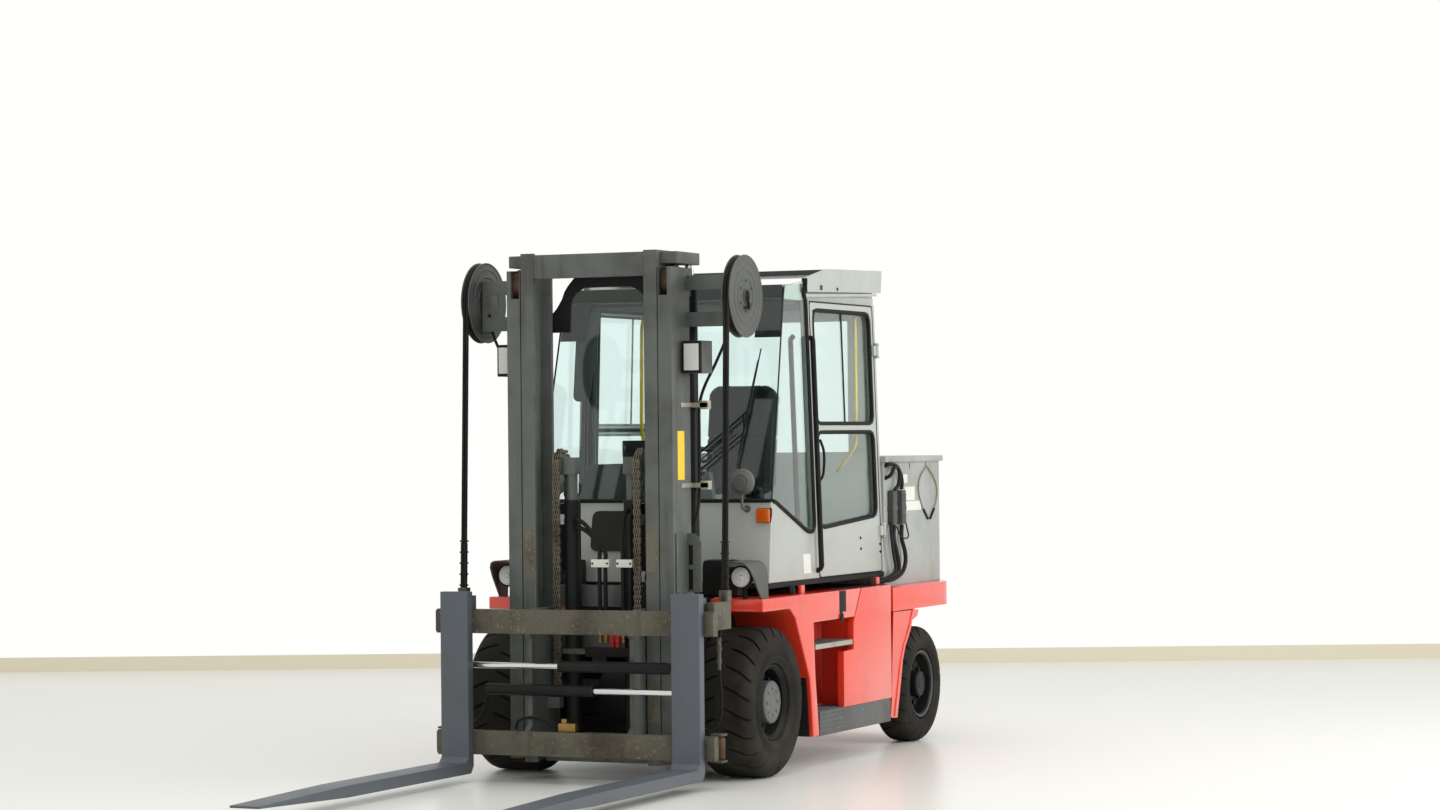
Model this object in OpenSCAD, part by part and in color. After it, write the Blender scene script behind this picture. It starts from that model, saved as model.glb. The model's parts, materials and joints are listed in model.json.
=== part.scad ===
// Electric counterbalance forklift with a full free-lift mast, fork positioner and closed cab.
// Millimetres. Forks point to -Y, the left side of the truck is +X, the floor is z = 0.

/* [Truck] */
// Distance between the front and the rear axle
wheelbase = 2430; // [2330:10:2530]
// Half of the width over the red side panels
body_half = 860; // [845:5:875]
// Height of the deck that carries the cab
deck_z = 1000; // [980:5:1020]
// Distance from the rear axle to the back of the counterweight
rear_overhang = 615; // [580:5:680]
// Thickness of body panels and cab walls
panel = 40; // [30:1:50]
// Running gap between pieces that move past each other
run_gap = 5; // [4:0.5:8]
// Radial gap between a pin or rod and its bore
pin_gap = 0.5; // [0.3:0.1:1]

/* [Wheels] */
// Outer radius of a front tyre
front_tyre_r = 421; // [400:1:430]
// Width of a front tyre
front_tyre_w = 350; // [320:5:360]
// Place of a front tyre's outer face from the middle of the truck
front_tyre_out = 881; // [870:1:900]
// Outer radius of a rear tyre
rear_tyre_r = 357; // [340:1:370]
// Width of a rear tyre
rear_tyre_w = 230; // [210:5:240]
// Place of a rear tyre's outer face from the middle of the truck
rear_tyre_out = 839; // [830:1:860]
// Radius of a rim's flange
rim_r = 212; // [205:1:220]
// Radius of the drive axle's tube
axle_r = 110; // [90:5:120]
// Distance of a kingpin from the middle of the truck
kingpin_x = 600; // [585:5:605]

/* [Mast] */
// Distance of the uprights' front faces ahead of the front axle
mast_front = 553; // [545:1:570]
// Depth of an upright, front to back
upright_d = 240; // [230:2:260]
// Thickness of an upright's flanges
flange_t = 25; // [20:1:28]
// Thickness of an upright's web
web_t = 21; // [18:1:24]
// Distance of an inner upright's open edge from the middle of the truck
inner_x = 340; // [335:1:345]
// Width of a flange
flange_w = 82; // [78:1:86]
// Height of the outer uprights' tops
outer_top = 2848; // [2700:10:2900]
// Height by which the inner uprights stand above the outer ones
inner_rise = 95; // [85:5:120]
// Height of the uprights' feet above the floor
mast_foot = 120; // [110:5:140]
// Height of the mast's tilt pins
tilt_pin_z = 330; // [320:5:345]
// Distance of the tilt pins ahead of the front axle
tilt_pin_y = 190; // [180:5:200]
// Radius of a tilt pin
tilt_pin_r = 30; // [25:1:35]
// Radius of a hose reel
reel_r = 230; // [210:5:235]
// Distance of a hose reel's inner face from the middle of the truck
reel_x = 781; // [775:1:790]
// Width of a hose reel
reel_w = 52; // [48:1:56]
// Radius of a hose
hose_r = 9; // [7:0.5:10]

/* [Cylinders and chains] */
// Radius of a main lift cylinder
main_r = 45; // [40:1:48]
// Radius of a main lift rod
main_rod_r = 25; // [20:1:30]
// Radius of a free-lift cylinder
lift_r = 46; // [40:1:48]
// Radius of a free-lift rod
lift_rod_r = 30; // [25:1:34]
// Distance of a free-lift cylinder from the middle of the truck
lift_x = 184; // [175:1:188]
// Height of a free-lift cylinder's top
lift_top = 1560; // [1480:10:1600]
// Radius of a chain sheave
sheave_r = 58; // [50:1:62]
// Thickness of a lift chain
chain_t = 24; // [20:1:26]
// Width of a lift chain
chain_w = 44; // [36:1:46]
// Radius of a tilt cylinder
tilt_r = 45; // [40:1:50]
// Radius of a tilt rod
tilt_rod_r = 22; // [18:1:26]

/* [Carriage and forks] */
// Distance of the fork bars' front faces ahead of the front axle
bar_front = 780; // [775:1:800]
// Thickness of a fork bar
bar_t = 50; // [45:1:55]
// Height of the lower edge of the lower fork bar
low_bar_z = 156; // [150:1:170]
// Height of a fork bar's face
bar_h = 134; // [125:1:140]
// Height of the lower edge of the upper fork bar
high_bar_z = 829; // [800:1:850]
// Half of the length of the fork bars
bar_half = 850; // [835:5:870]
// Distance of a fork's inner edge from the middle of the truck
fork_x = 621; // [600:1:650]
// Width of a fork
fork_w = 170; // [150:5:180]
// Thickness of a fork
fork_t = 63; // [55:1:70]
// Length of a fork's blade ahead of its shank
fork_len = 2200; // [2000:10:2400]
// Height of a fork's shank top
fork_top = 1061; // [1030:1:1090]
// Height of a blade's underside above the floor
fork_z = 52; // [40:1:60]
// Travel of a fork towards the middle
fork_travel = 400; // [300:10:420]
// Radius of a positioner cylinder
pos_r = 32; // [26:1:34]
// Radius of a positioner rod
pos_rod_r = 18; // [14:1:20]

/* [Cab] */
// Half of the cab's width at the floor
cab_half = 760; // [740:5:780]
// Half of the cab's width at the roof
cab_top_half = 708; // [695:1:720]
// Height of the cab's walls above its floor
cab_h = 1625; // [1580:5:1660]
// Height of the cab floor's top
cab_z = 1075; // [1065:5:1090]
// Place of the cowl's foot behind the front axle
cowl_y = 187; // [180:1:200]
// Place of the windscreen's foot behind the front axle
sill_y = 271; // [260:1:280]
// Height of the windscreen's foot
sill_z = 1535; // [1500:5:1560]
// Backward lean of the windscreen for each millimetre of height
screen_slope = 0.2436; // [0.22:0.001:0.26]
// Place of a door's front edge behind the front axle
door_y = 941; // [930:1:960]
// Width of a door
door_w = 994; // [970:1:1000]
// Width of a door's frame
door_frame = 45; // [40:1:55]
// Thickness of window glass
glass_t = 8; // [6:1:12]

/* [Battery] */
// Height of the counterweight's ledge
ledge_z = 980; // [970:5:990]
// Thickness of the counterweight's ledge
ledge_t = 145; // [130:5:155]
// Half of the battery box's width
box_half = 755; // [740:5:780]
// Height of the battery box
box_h = 796; // [760:2:820]
// Height of the battery box's lip
lip_h = 35; // [30:1:45]
// Overhang of the battery box's lip
lip_out = 20; // [15:1:25]

/* [Hidden] */
$fn = 64;

red = [0.80, 0.10, 0.08];
dark = [0.28, 0.29, 0.31];
pale = [0.80, 0.81, 0.78];
grey = [0.62, 0.64, 0.62];
black = [0.10, 0.10, 0.10];
chrome = [0.85, 0.85, 0.87];
glass = [0.60, 0.75, 0.70];

// The part's frame has its origin under the middle of the truck's length
rear_end = wheelbase + rear_overhang;
shank_front = bar_front + fork_t;
tip_reach = shank_front + fork_len;
mid_y = (rear_end - tip_reach) / 2;

// Mast sections, all measured from the front axle
mast_back = mast_front - upright_d;
channel_y = -(mast_front + mast_back) / 2;
roller_r = upright_d / 2 - flange_t - run_gap;
inner_out = inner_x + flange_w - 2;
outer_x = inner_out + run_gap + 1;
outer_out = outer_x + flange_w;
inner_top = outer_top + inner_rise;
tie_y = -mast_back + run_gap;
tie_t = 30;
main_x = outer_out - 39;
main_y = tie_y + tie_t + 8 + main_r;
lift_y = channel_y + 33;
chain_x = lift_x + 66;
sheave_z = lift_top + 200;
strand_r = sheave_r + chain_t / 2;
reel_y = -mast_back + 49;
reel_z = outer_top - 163;
plate_x = inner_x - 10;

// Tilt cylinders: eye on the mast, foot on the frame
eye_reach = 45;
eye_y = tie_y + tie_t + eye_reach;
eye_z = tilt_pin_z + 430;
tilt_foot_y = 480;
tilt_foot_z = 700;
eye_pin_r = 15;
tilt_run = sqrt(pow(eye_y - tilt_foot_y, 2) + pow(eye_z - tilt_foot_z, 2));
tilt_angle = atan((eye_z - tilt_foot_z) / (tilt_foot_y - eye_y));

// Cab
lean = atan((cab_half - cab_top_half) / cab_h);
cab_top = cab_z + cab_h;
cab_back = door_y + door_w + 6;
hinge_r = 12;
hinge_out = hinge_r + run_gap;
door_h = cab_h - 7;

// Body
plate_in = outer_out - 78;
recess_z = ledge_z - ledge_t;
fender_in = plate_in + panel;
step_share = 0.436;
fender_split = 60;
mast_clear = 32;
strip_t = 30;
step_in = fender_in + (body_half - fender_in) * step_share;
panel_back = wheelbase - 610;
ledge_front = cab_back - 84;
box_front = cab_back + 49;
box_back = rear_end - 84;
tilt_x = plate_in - 130;
front_wheel_x = front_tyre_out - front_tyre_w / 2;
rear_wheel_x = rear_tyre_out - rear_tyre_w / 2;

// Moves a piece from the front axle's frame into the part's frame
module place() { translate([0, -mid_y, 0]) children(); }

// Draws a piece on both sides of the truck
module both() {
    children();
    mirror([1, 0, 0]) children();
}

// A block between two corners
module block(x0, x1, y0, y1, z0, z1) {
    translate([x0, y0, z0]) cube([x1 - x0, y1 - y0, z1 - z0]);
}

// A plate with an outline in the Y-Z plane
module side_plate(x0, x1, points) {
    translate([x0, 0, 0]) rotate([90, 0, 90]) linear_extrude(x1 - x0) polygon(points);
}

// A round bar along X
module bar_x(x0, x1, y, z, r) {
    translate([x0, y, z]) rotate([0, 90, 0]) cylinder(h = x1 - x0, r = r);
}

// A round bar along Z
module bar_z(x, y, z0, z1, r) { translate([x, y, z0]) cylinder(h = z1 - z0, r = r); }

// The cab's outer faces, leaning inwards on both sides
module cab_shape() {
    translate([0, rear_end, 0]) rotate([90, 0, 0]) linear_extrude(rear_end)
        polygon([[-cab_half, cab_z], [cab_half, cab_z], [cab_top_half, cab_top], [cab_top_half, cab_top + 300],
            [-cab_top_half, cab_top + 300], [-cab_top_half, cab_top]]);
}

// The frame of a leaning cab side: x is 0 at the outer face and z is 0 at the floor
module on_side() { translate([cab_half, 0, cab_z]) rotate([0, -lean, 0]) children(); }

// Place of the windscreen's face at a height
function screen_y(z) = sill_y + (z - sill_z) * screen_slope;

// Place and lean of the cowl's face at a height
function cowl_at(z) = cowl_y + (z - cab_z) * (sill_y - cowl_y) / (sill_z - cab_z);
cowl_angle = atan((sill_y - cowl_y) / (sill_z - cab_z));

// Chassis

module frame() {
    color(black) place() {
        difference() {
            union() {
                both() side_plate(plate_in, plate_in + panel, [[-tilt_pin_y - 50, 270], [-tilt_pin_y - 50, 400],
                    [-tilt_pin_y + 40, 560], [60, deck_z - 100], [ledge_front, deck_z - 100],
                    [ledge_front, 300], [200, 270]]);
                block(-plate_in, plate_in, tilt_foot_y + 40, tilt_foot_y + 80, 300, deck_z - 100);
                block(-plate_in, plate_in, ledge_front - 60, ledge_front, 300, deck_z - 100);
                block(-fender_in, fender_in, 100, ledge_front, deck_z - 100, deck_z);
                both() block(fender_in, body_half - panel, 1345, ledge_front, recess_z, deck_z);
                both() bar_x(plate_in, outer_out + 6, -tilt_pin_y, tilt_pin_z, tilt_pin_r);
                both() for (side = [-1, 1])
                    translate([tilt_x + side * 32, 0, 0]) tilt_lug(tilt_foot_y, tilt_foot_z, 40);
                both() bar_x(tilt_x - 38, tilt_x + 38, tilt_foot_y, tilt_foot_z, eye_pin_r);
            }
            bar_x(-plate_in - 2 * panel, plate_in + 2 * panel, 0, front_tyre_r, axle_r + 0.3);
        }
    }
}

// One ear beside a tilt cylinder's eye, reaching back to its carrier
module tilt_lug(y, z, reach) {
    bar_x(-6, 6, y, z, 32);
    block(-6, 6, y, y + reach, z - 32, z + 32);
}

module fenders() {
    color(red) place() both() {
        side_plate(fender_in, body_half, [[fender_split, 930], [fender_split, deck_z], [1336, deck_z], [1228, recess_z],
            [600, recess_z], [620, 520], [536, 520], [330, 875], [250, 930]]);
        block(outer_out + mast_clear, body_half, -134, fender_split, 930, deck_z);
        side_plate(body_half - strip_t, body_half, front_strip);
    }
}

// Outlines of the strips behind a front wheel and ahead of a rear wheel
front_strip = [[536, 520], [620, 520], [670, 178], [580, 178], [556, 400]];
rear_strip = [[-558, 197], [-540, 197], [-490, 330], [-430, 500], [-370, 610], [-280, 705], [-200, recess_z],
    [-230, recess_z], [-300, 720], [-395, 620], [-455, 505], [-515, 330]];

module mudguards() {
    color(black) place() both() {
        side_plate(fender_in, body_half - strip_t, front_strip);
        translate([0, wheelbase, 0]) side_plate(step_in, body_half - strip_t, rear_strip);
    }
}

module steps() {
    color(grey) place() both() {
        block(step_in, body_half, 680, panel_back - 19, 173, 315);
        block(step_in, body_half - 5, 625, 1200, 680, 705);
    }
}

module side_boxes() {
    color(red) place() both()
        translate([0, 0, 315]) linear_extrude(recess_z - 315)
            polygon([[plate_in + panel, 680], [step_in, 680], [step_in, 1232], [body_half - panel, 1232],
                [body_half - panel, panel_back], [plate_in + panel, panel_back]]);
}

module side_panels() {
    color(red) place() both() {
        translate([0, wheelbase, 0]) side_plate(body_half - strip_t, body_half, rear_strip);
        side_plate(body_half - panel, body_half, [[1053, 315], [1053, 640], [1211, 645], [1211, 800],
            [1348, deck_z], [ledge_front - 35, deck_z], [ledge_front - 35, recess_z - 5],
            [panel_back, recess_z - 5], [panel_back, 315]]);
    }
}

module counterweight() {
    corner = 300;
    tow_pin_r = 16;
    color(red) place() {
        translate([0, 0, ledge_z - ledge_t]) linear_extrude(ledge_t) difference() {
            union() {
                translate([-body_half, ledge_front]) square([2 * body_half, rear_end - corner - ledge_front]);
                translate([-body_half + corner, ledge_front])
                    square([2 * (body_half - corner), rear_end - ledge_front]);
                for (side = [-1, 1]) translate([side * (body_half - corner), rear_end - corner]) circle(corner);
            }
            translate([0, rear_end - 20]) circle(tow_pin_r);
        }
        difference() {
            union() {
                block(-280, 280, ledge_front, rear_end - 60, 240, ledge_z - ledge_t);
                block(-480, 480, rear_end - 170, rear_end - 60, 300, ledge_z - ledge_t);
                tow_jaw();
            }
            block(-300, 300, wheelbase - 110, wheelbase + 110, 200, rear_tyre_r + 160);
            bar_z(0, rear_end - 20, 450, 620, tow_pin_r);
            block(-60, 60, rear_end - 60, rear_end + 10, 505, 565);
        }
    }
}

// The jaw for a towing pin at the back of the counterweight
module tow_jaw() { block(-70, 70, rear_end - 70, rear_end, 460, 610); }

module battery_box() {
    color(grey) place() {
        block(-box_half, box_half, box_front, box_back, ledge_z, ledge_z + box_h - lip_h);
        block(-box_half - lip_out, box_half + lip_out, box_front - lip_out + 10, box_back + lip_out,
            ledge_z + box_h - lip_h, ledge_z + box_h);
    }
}

module drive_axle() {
    color(black) place() {
        bar_x(-505, 505, 0, front_tyre_r, axle_r);
        bar_x(-150, 150, 0, front_tyre_r, 180);
        both() bar_x(505, front_wheel_x + 92, 0, front_tyre_r, 50);
    }
}

module steer_axle() {
    color(black) place() difference() {
        union() {
            block(-530, 530, wheelbase - 70, wheelbase + 70, rear_tyre_r - 115, rear_tyre_r + 115);
            both() for (z = [-115, 80])
                block(525, 620, wheelbase - 60, wheelbase + 60, rear_tyre_r + z, rear_tyre_r + z + 35);
            both() for (z = [-115, 80])
                bar_z(620, wheelbase, rear_tyre_r + z, rear_tyre_r + z + 35, 60);
            block(-80, 80, wheelbase - 110, wheelbase + 110, rear_tyre_r + 115, rear_tyre_r + 160);
        }
        both() bar_z(kingpin_x, wheelbase, rear_tyre_r - 130, rear_tyre_r + 130, 30 + pin_gap);
    }
}

// Wheels

// A tyre's section, revolved about X, with the outer side of the truck towards +X
module tyre(x, y, r, w) {
    color(black) place() translate([x, y, r]) rotate([0, 90, 0]) rotate_extrude($fn = 96)
        polygon([[rim_r + 0.3, -w / 2 + 30], [rim_r + 25, -w / 2 + 6], [r * 0.8, -w / 2], [r - 40, -w / 2 + 8],
            [r - 8, -w / 2 + 34], [r, -w / 2 + 60], [r, w / 2 - 60], [r - 8, w / 2 - 34], [r - 40, w / 2 - 8],
            [r * 0.8, w / 2], [rim_r + 25, w / 2 - 6], [rim_r + 0.3, w / 2 - 30]]);
}

// A rim with its disc, hub and hub cap
module rim(x, y, r, half_w, disc_x, cap_x, cap_r, shaft_r) {
    color(black) place() translate([x, y, r]) rotate([0, 90, 0]) rotate_extrude()
        polygon([[shaft_r + pin_gap, disc_x], [rim_r - 30, disc_x], [rim_r - 30, -half_w], [rim_r, -half_w],
            [rim_r, half_w], [rim_r - 30, half_w], [rim_r - 30, disc_x + 30], [cap_r, disc_x + 30], [cap_r, cap_x],
            [0, cap_x], [0, cap_x - 20], [shaft_r + pin_gap, cap_x - 20]]);
}

module front_rim() { rim(front_wheel_x, 0, front_tyre_r, front_tyre_w / 2 - 25, 60, 149, 120, 50); }
module rear_rim() { rim(rear_wheel_x, wheelbase, rear_tyre_r, rear_tyre_w / 2 - 15, 20, 95, 80, 40); }
module front_tyre() { tyre(front_wheel_x, 0, front_tyre_r, front_tyre_w); }
module rear_tyre() { tyre(rear_wheel_x, wheelbase, rear_tyre_r, rear_tyre_w); }
module tyre_front_left() { front_tyre(); }
module tyre_front_right() { mirror([1, 0, 0]) front_tyre(); }
module tyre_rear_left() { rear_tyre(); }
module tyre_rear_right() { mirror([1, 0, 0]) rear_tyre(); }
module rim_front_left() { front_rim(); }
module rim_front_right() { mirror([1, 0, 0]) front_rim(); }
module rim_rear_left() { rear_rim(); }
module rim_rear_right() { mirror([1, 0, 0]) rear_rim(); }

// The steering knuckle with its kingpin and spindle
module knuckle() {
    color(dark) place() {
        bar_z(kingpin_x, wheelbase, rear_tyre_r - 75, rear_tyre_r + 75, 55);
        bar_z(kingpin_x, wheelbase, rear_tyre_r - 120, rear_tyre_r + 120, 30);
        bar_x(kingpin_x, rear_wheel_x + 70, wheelbase, rear_tyre_r, 40);
    }
}
module knuckle_left() { knuckle(); }
module knuckle_right() { mirror([1, 0, 0]) knuckle(); }

// Cab

module cab_floor() {
    color(black) place() block(-cab_half + 5, cab_half - 5, cowl_y + 5, cab_back + 34, cab_z - 30, cab_z);
}

module cab_mounts() {
    color(black) place() both() for (y = [400, 1650]) bar_z(450, y, deck_z, cab_z - 30, 50);
}

module cab_cowl() {
    color(pale) place() intersection() {
        cab_shape();
        side_plate(-cab_half, cab_half, [[cowl_y, cab_z], [sill_y, sill_z], [sill_y + panel, sill_z],
            [cowl_y + panel, cab_z]]);
    }
}

// The dipping sill of a side window, which runs from the windscreen's foot to the door post
flush_gap = 0.3;
foot_h = panel * tan(lean);
sill_h = (sill_z - cab_z) / cos(lean) + foot_h;
pane_back = door_y - 55;
pane_sill = [[sill_y + panel + flush_gap, sill_h], [door_y - 160, 275], [door_y - 80, 275], [pane_back, 310]];

// The fixed wall under a side window and the post beside the door
module side_frame() {
    foot = cowl_y + panel + flush_gap;
    back = door_y - 6;
    side_plate(-panel, 0, concat([[foot, foot_h]], pane_sill, [[pane_back, cab_h], [back, cab_h], [back, foot_h]]));
}

module cab_sides() { color(pale) place() both() on_side() side_frame(); }

// Outlines of a door's two windows; the sill of the lower one dips towards the front
pane_y = [door_y + door_frame, door_y + door_w - door_frame];
door_panes = [
    [[pane_y[0], 290], [pane_y[1], 344], [pane_y[1], 855], [pane_y[0], 855]],
    [[pane_y[0], 905], [pane_y[1], 905], [pane_y[1], cab_h - 50], [pane_y[0], cab_h - 50]]];

module door() {
    color(pale) place() on_side() {
        difference() {
            block(-panel, 0, door_y, door_y + door_w, 6, door_h);
            for (pane = door_panes) side_plate(-panel - 1, 1, pane);
        }
        for (z = [250, 1350]) difference() {
            union() {
                bar_z(hinge_out, cab_back + 12, z - 30, z + 30, hinge_r);
                block(0, hinge_out, cab_back - 36, cab_back - 6, z - 30, z + 30);
                block(run_gap, hinge_out, cab_back - 10, cab_back + 12, z - 30, z + 30);
            }
            bar_z(hinge_out, cab_back + 12, z - 40, z + 40, 6 + 0.3);
        }
    }
}

module door_glass() {
    color(glass) place() on_side() for (pane = door_panes) side_plate(-panel / 2 - glass_t, -panel / 2, pane);
}
module door_left() { door(); }
module door_right() { mirror([1, 0, 0]) door(); }
module door_left_glass() { door_glass(); }
module door_right_glass() { mirror([1, 0, 0]) door_glass(); }

module cab_rear() {
    color(pale) place() {
        difference() {
            intersection() {
                cab_shape();
                block(-cab_half, cab_half, cab_back, cab_back + 34, cab_z, cab_top);
            }
            block(-540, 540, cab_back - 1, cab_back + 40, ledge_z + box_h + 30, cab_top - 90);
        }
        both() on_side() for (z = [250, 1350]) {
            for (end = [-46, 31]) block(-1, hinge_out + 6, cab_back + 5, cab_back + 34, z + end, z + end + 15);
            bar_z(hinge_out, cab_back + 12, z - 46, z + 46, 6);
        }
    }
}

// The roof's slab ends above the panes; thin fascias stand on both sides of it, with gutters under them
fascia_y = door_y - 73;
module roof() {
    head = screen_y(cab_top) + glass_t + 1;
    slab_half = cab_top_half - glass_t - 8;
    fascia_out = cab_top_half + 17;
    fascia_in = fascia_out - panel;
    slab_back = cab_back + 60;
    color(pale) place() {
        side_plate(-slab_half, slab_half, [[head, cab_top], [head + 12, cab_top + 45], [slab_back, cab_top + 45],
            [slab_back, cab_top]]);
        side_plate(-fascia_in - 1, fascia_in + 1, [[head + 12, cab_top + 45], [head + 20, cab_top + 82],
            [fascia_y + 38, cab_top + 100], [slab_back, cab_top + 120], [slab_back, cab_top + 45]]);
        both() side_plate(fascia_in, fascia_out, [[fascia_y, cab_top + 50], [fascia_y + 17, cab_top + 128],
            [fascia_y + 361, cab_top + 197], [cab_back + 130, cab_top + 218], [cab_back + 110, cab_top + 82]]);
        both() side_plate(fascia_in, fascia_out - 7, [[fascia_y, cab_top + 20], [fascia_y, cab_top + 36],
            [slab_back, cab_top + 76], [slab_back, cab_top + 60]]);
        side_plate(-fascia_in - 1, fascia_in + 1, [[fascia_y + 367, cab_top + 168], [fascia_y + 367, cab_top + 196],
            [cab_back + 120, cab_top + 215], [cab_back + 120, cab_top + 188]]);
    }
}

module cab_glass() {
    top_z = cab_top + 79;
    color(glass) place() {
        intersection() {
            cab_shape();
            side_plate(-cab_half, cab_half, [[sill_y, sill_z], [screen_y(top_z), top_z],
                [screen_y(top_z) + glass_t, top_z], [sill_y + glass_t, sill_z]]);
        }
        both() on_side() side_plate(-glass_t, 0, concat([[screen_y(sill_z) + glass_t + 1, sill_h]], pane_sill, [
            [pane_back, cab_h - 24], [fascia_y - 6, cab_h + 10], [fascia_y - 6, cab_h + 113],
            [screen_y(top_z) + glass_t + 1, cab_h + 79]]));
        block(-540, 540, cab_back + 13, cab_back + 13 + glass_t, ledge_z + box_h + 30, cab_top - 90);
    }
}

seat_y = 1120;
module seat_base() {
    color(black) place() {
        block(-200, 200, seat_y - 20, seat_y + 420, cab_z, cab_z + 330);
        side_plate(-120, 120, [[seat_y + 420, cab_z + 260], [seat_y + 490, cab_z + 300], [seat_y + 523, cab_z + 700],
            [seat_y + 473.4, cab_z + 700], [seat_y + 440.3, cab_z + 460], [seat_y + 420, cab_z + 330]]);
    }
}
module seat_cushion() {
    color(black) place() block(-245, 245, seat_y - 60, seat_y + 415, cab_z + 330.3, cab_z + 450);
}
module seat_back() {
    color(black) place() side_plate(-240, 240, [[seat_y + 330, cab_z + 460], [seat_y + 440, cab_z + 460],
        [seat_y + 535, cab_z + 1150], [seat_y + 440, cab_z + 1170]]);
}

module steering_column() {
    color(black) place() {
        side_plate(-70, 70, [[520, cab_z], [700, cab_z], [690, cab_z + 120], [760, cab_z + 620], [700, cab_z + 660],
            [580, cab_z + 200]]);
        translate([0, 745, cab_z + 690]) rotate([25, 0, 0]) {
            rotate_extrude() translate([170, 0]) circle(14);
            cylinder(h = 26, r = 40, center = true);
            for (a = [0, 120, 240]) rotate([0, 0, a]) block(0, 170, -12, 12, -6, 6);
            translate([0, 0, -60]) cylinder(h = 60, r = 25);
        }
    }
}

module front_lamps() {
    lamp_x = 731;
    lamp_z = deck_z + 122;
    color(black) place() both() {
        translate([lamp_x, -150, lamp_z]) rotate([-90, 0, 0]) cylinder(h = 70, r = 64);
        side_plate(lamp_x - 60, lamp_x + 90, [[-134, deck_z], [-90, deck_z], [-70, lamp_z + 90], [-80, lamp_z + 90]]);
        translate([cab_half - 55, cowl_at(sill_z - 75), sill_z - 75]) rotate([90 - cowl_angle, 0, 0])
            cylinder(h = 30, r = 48);
    }
}

module mirrors() {
    mirror_x = 596;
    mirror_y = 190;
    mirror_z = sill_z + 115;
    color(black) place() both() {
        translate([mirror_x, mirror_y, mirror_z]) rotate([90, 0, 0]) cylinder(h = 44, r = 75, center = true);
        bar_z(mirror_x, mirror_y, sill_z - 40, mirror_z - 60, 8);
        block(mirror_x - 10, mirror_x + 10, mirror_y - 4, cowl_at(sill_z - 50), sill_z - 50, sill_z - 30);
    }
}

// Mast, outer stage

// A channel with its open side towards the middle of the truck
module channel(x0, x1, z0, z1) {
    translate([0, 0, z0]) linear_extrude(z1 - z0) difference() {
        translate([x0, -mast_front]) square([x1 - x0, upright_d]);
        translate([x0 - 1, -mast_front + flange_t]) square([x1 - x0 - web_t + 1, upright_d - 2 * flange_t]);
    }
}

module outer_uprights() {
    color(dark) place() both() difference() {
        union() {
            channel(outer_x, outer_out, mast_foot, outer_top);
            side_plate(outer_out - 29, outer_out, [[-mast_back, tilt_pin_z - 70], [-tilt_pin_y, tilt_pin_z - 60],
                [-tilt_pin_y + 55, tilt_pin_z - 20], [-tilt_pin_y + 55, tilt_pin_z + 20], [-tilt_pin_y, tilt_pin_z + 60],
                [-mast_back, tilt_pin_z + 160]]);
            bar_x(outer_x + 6, outer_out - web_t, channel_y, outer_top - 78, roller_r);
        }
        bar_x(outer_x, outer_out + 1, -tilt_pin_y, tilt_pin_z, tilt_pin_r + pin_gap);
        block(outer_x + 5, outer_out - 25, -mast_front - 1, -mast_front + flange_t + 1, outer_top - 156, outer_top - 2);
    }
}

// Lower and upper edges of the ties behind the outer uprights
tie_levels = [[mast_foot + 10, mast_foot + 130], [eye_z - 60, eye_z + 60], [eye_z + 200, eye_z + 320],
    [outer_top - 35, outer_top]];

module outer_ties() {
    color(dark) place() {
        for (level = tie_levels) {
            block(-outer_out, outer_out, tie_y, tie_y + tie_t, level[0], level[1]);
            both() block(outer_x, outer_out, -mast_back, tie_y, level[0], level[1]);
        }
        both() for (side = [-1, 1])
            translate([tilt_x + side * 32, 0, 0]) mirror([0, 1, 0]) tilt_lug(-eye_y, eye_z, eye_reach);
        both() bar_x(tilt_x - 38, tilt_x + 38, eye_y, eye_z, eye_pin_r);
        both() reel_bracket();
    }
}

// Two arms and a back plate that carry a hose reel
module reel_bracket() {
    back = reel_x - 6;
    for (z = [reel_z - 165, reel_z + 40]) block(outer_out, back, -mast_back - 30, -mast_back, z, z + 80);
    block(back - 20, back, -mast_back - 30, reel_y + 60, reel_z - 165, reel_z + 120);
    bar_x(back, reel_x + reel_w + 6, reel_y, reel_z, 40);
}

module main_barrels() {
    color(dark) place() both() difference() {
        union() {
            bar_z(main_x, main_y, eye_z - 55, outer_top - 58, main_r);
            for (z = [eye_z - 55, eye_z + 210]) block(main_x - 30, main_x + 30, tie_y + tie_t, main_y, z, z + 100);
            block(main_x - 30, main_x + 30, -mast_back, main_y, outer_top - 158, outer_top - 58);
        }
        bar_z(main_x, main_y, eye_z + 20, outer_top, main_rod_r + pin_gap);
    }
}

module hose_reels() {
    color(grey) place() both() difference() {
        union() {
            for (x = [reel_x, reel_x + reel_w - 7]) bar_x(x, x + 7, reel_y, reel_z, reel_r);
            bar_x(reel_x, reel_x + reel_w, reel_y, reel_z, reel_r - 25);
        }
        bar_x(reel_x - 1, reel_x + reel_w + 1, reel_y, reel_z, 40.3);
    }
}

module work_lamps() {
    color(dark) place() both() {
        block(outer_out + 10, outer_out + 126, -430, -290, outer_top - 588, outer_top - 408);
        block(outer_out, outer_out + 10, -400, -330, outer_top - 548, outer_top - 448);
    }
}

// Two hoses on each side, from a reel down to the carriage
hose_top = [reel_y - reel_r + 25 - hose_r - 0.5, reel_z];
hose_end = [-535, 1071];
module hose_drops() {
    run = hose_top[1] - hose_end[1];
    slip = hose_top[0] - hose_end[0];
    color(black) place() both() for (x = [-1, 1])
        translate([reel_x + reel_w / 2 + x * (hose_r + 0.5), hose_end[0], hose_end[1]])
            rotate([-atan(slip / run), 0, 0]) cylinder(h = norm([run, slip]), r = hose_r);
}

// Mast, inner stage

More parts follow.
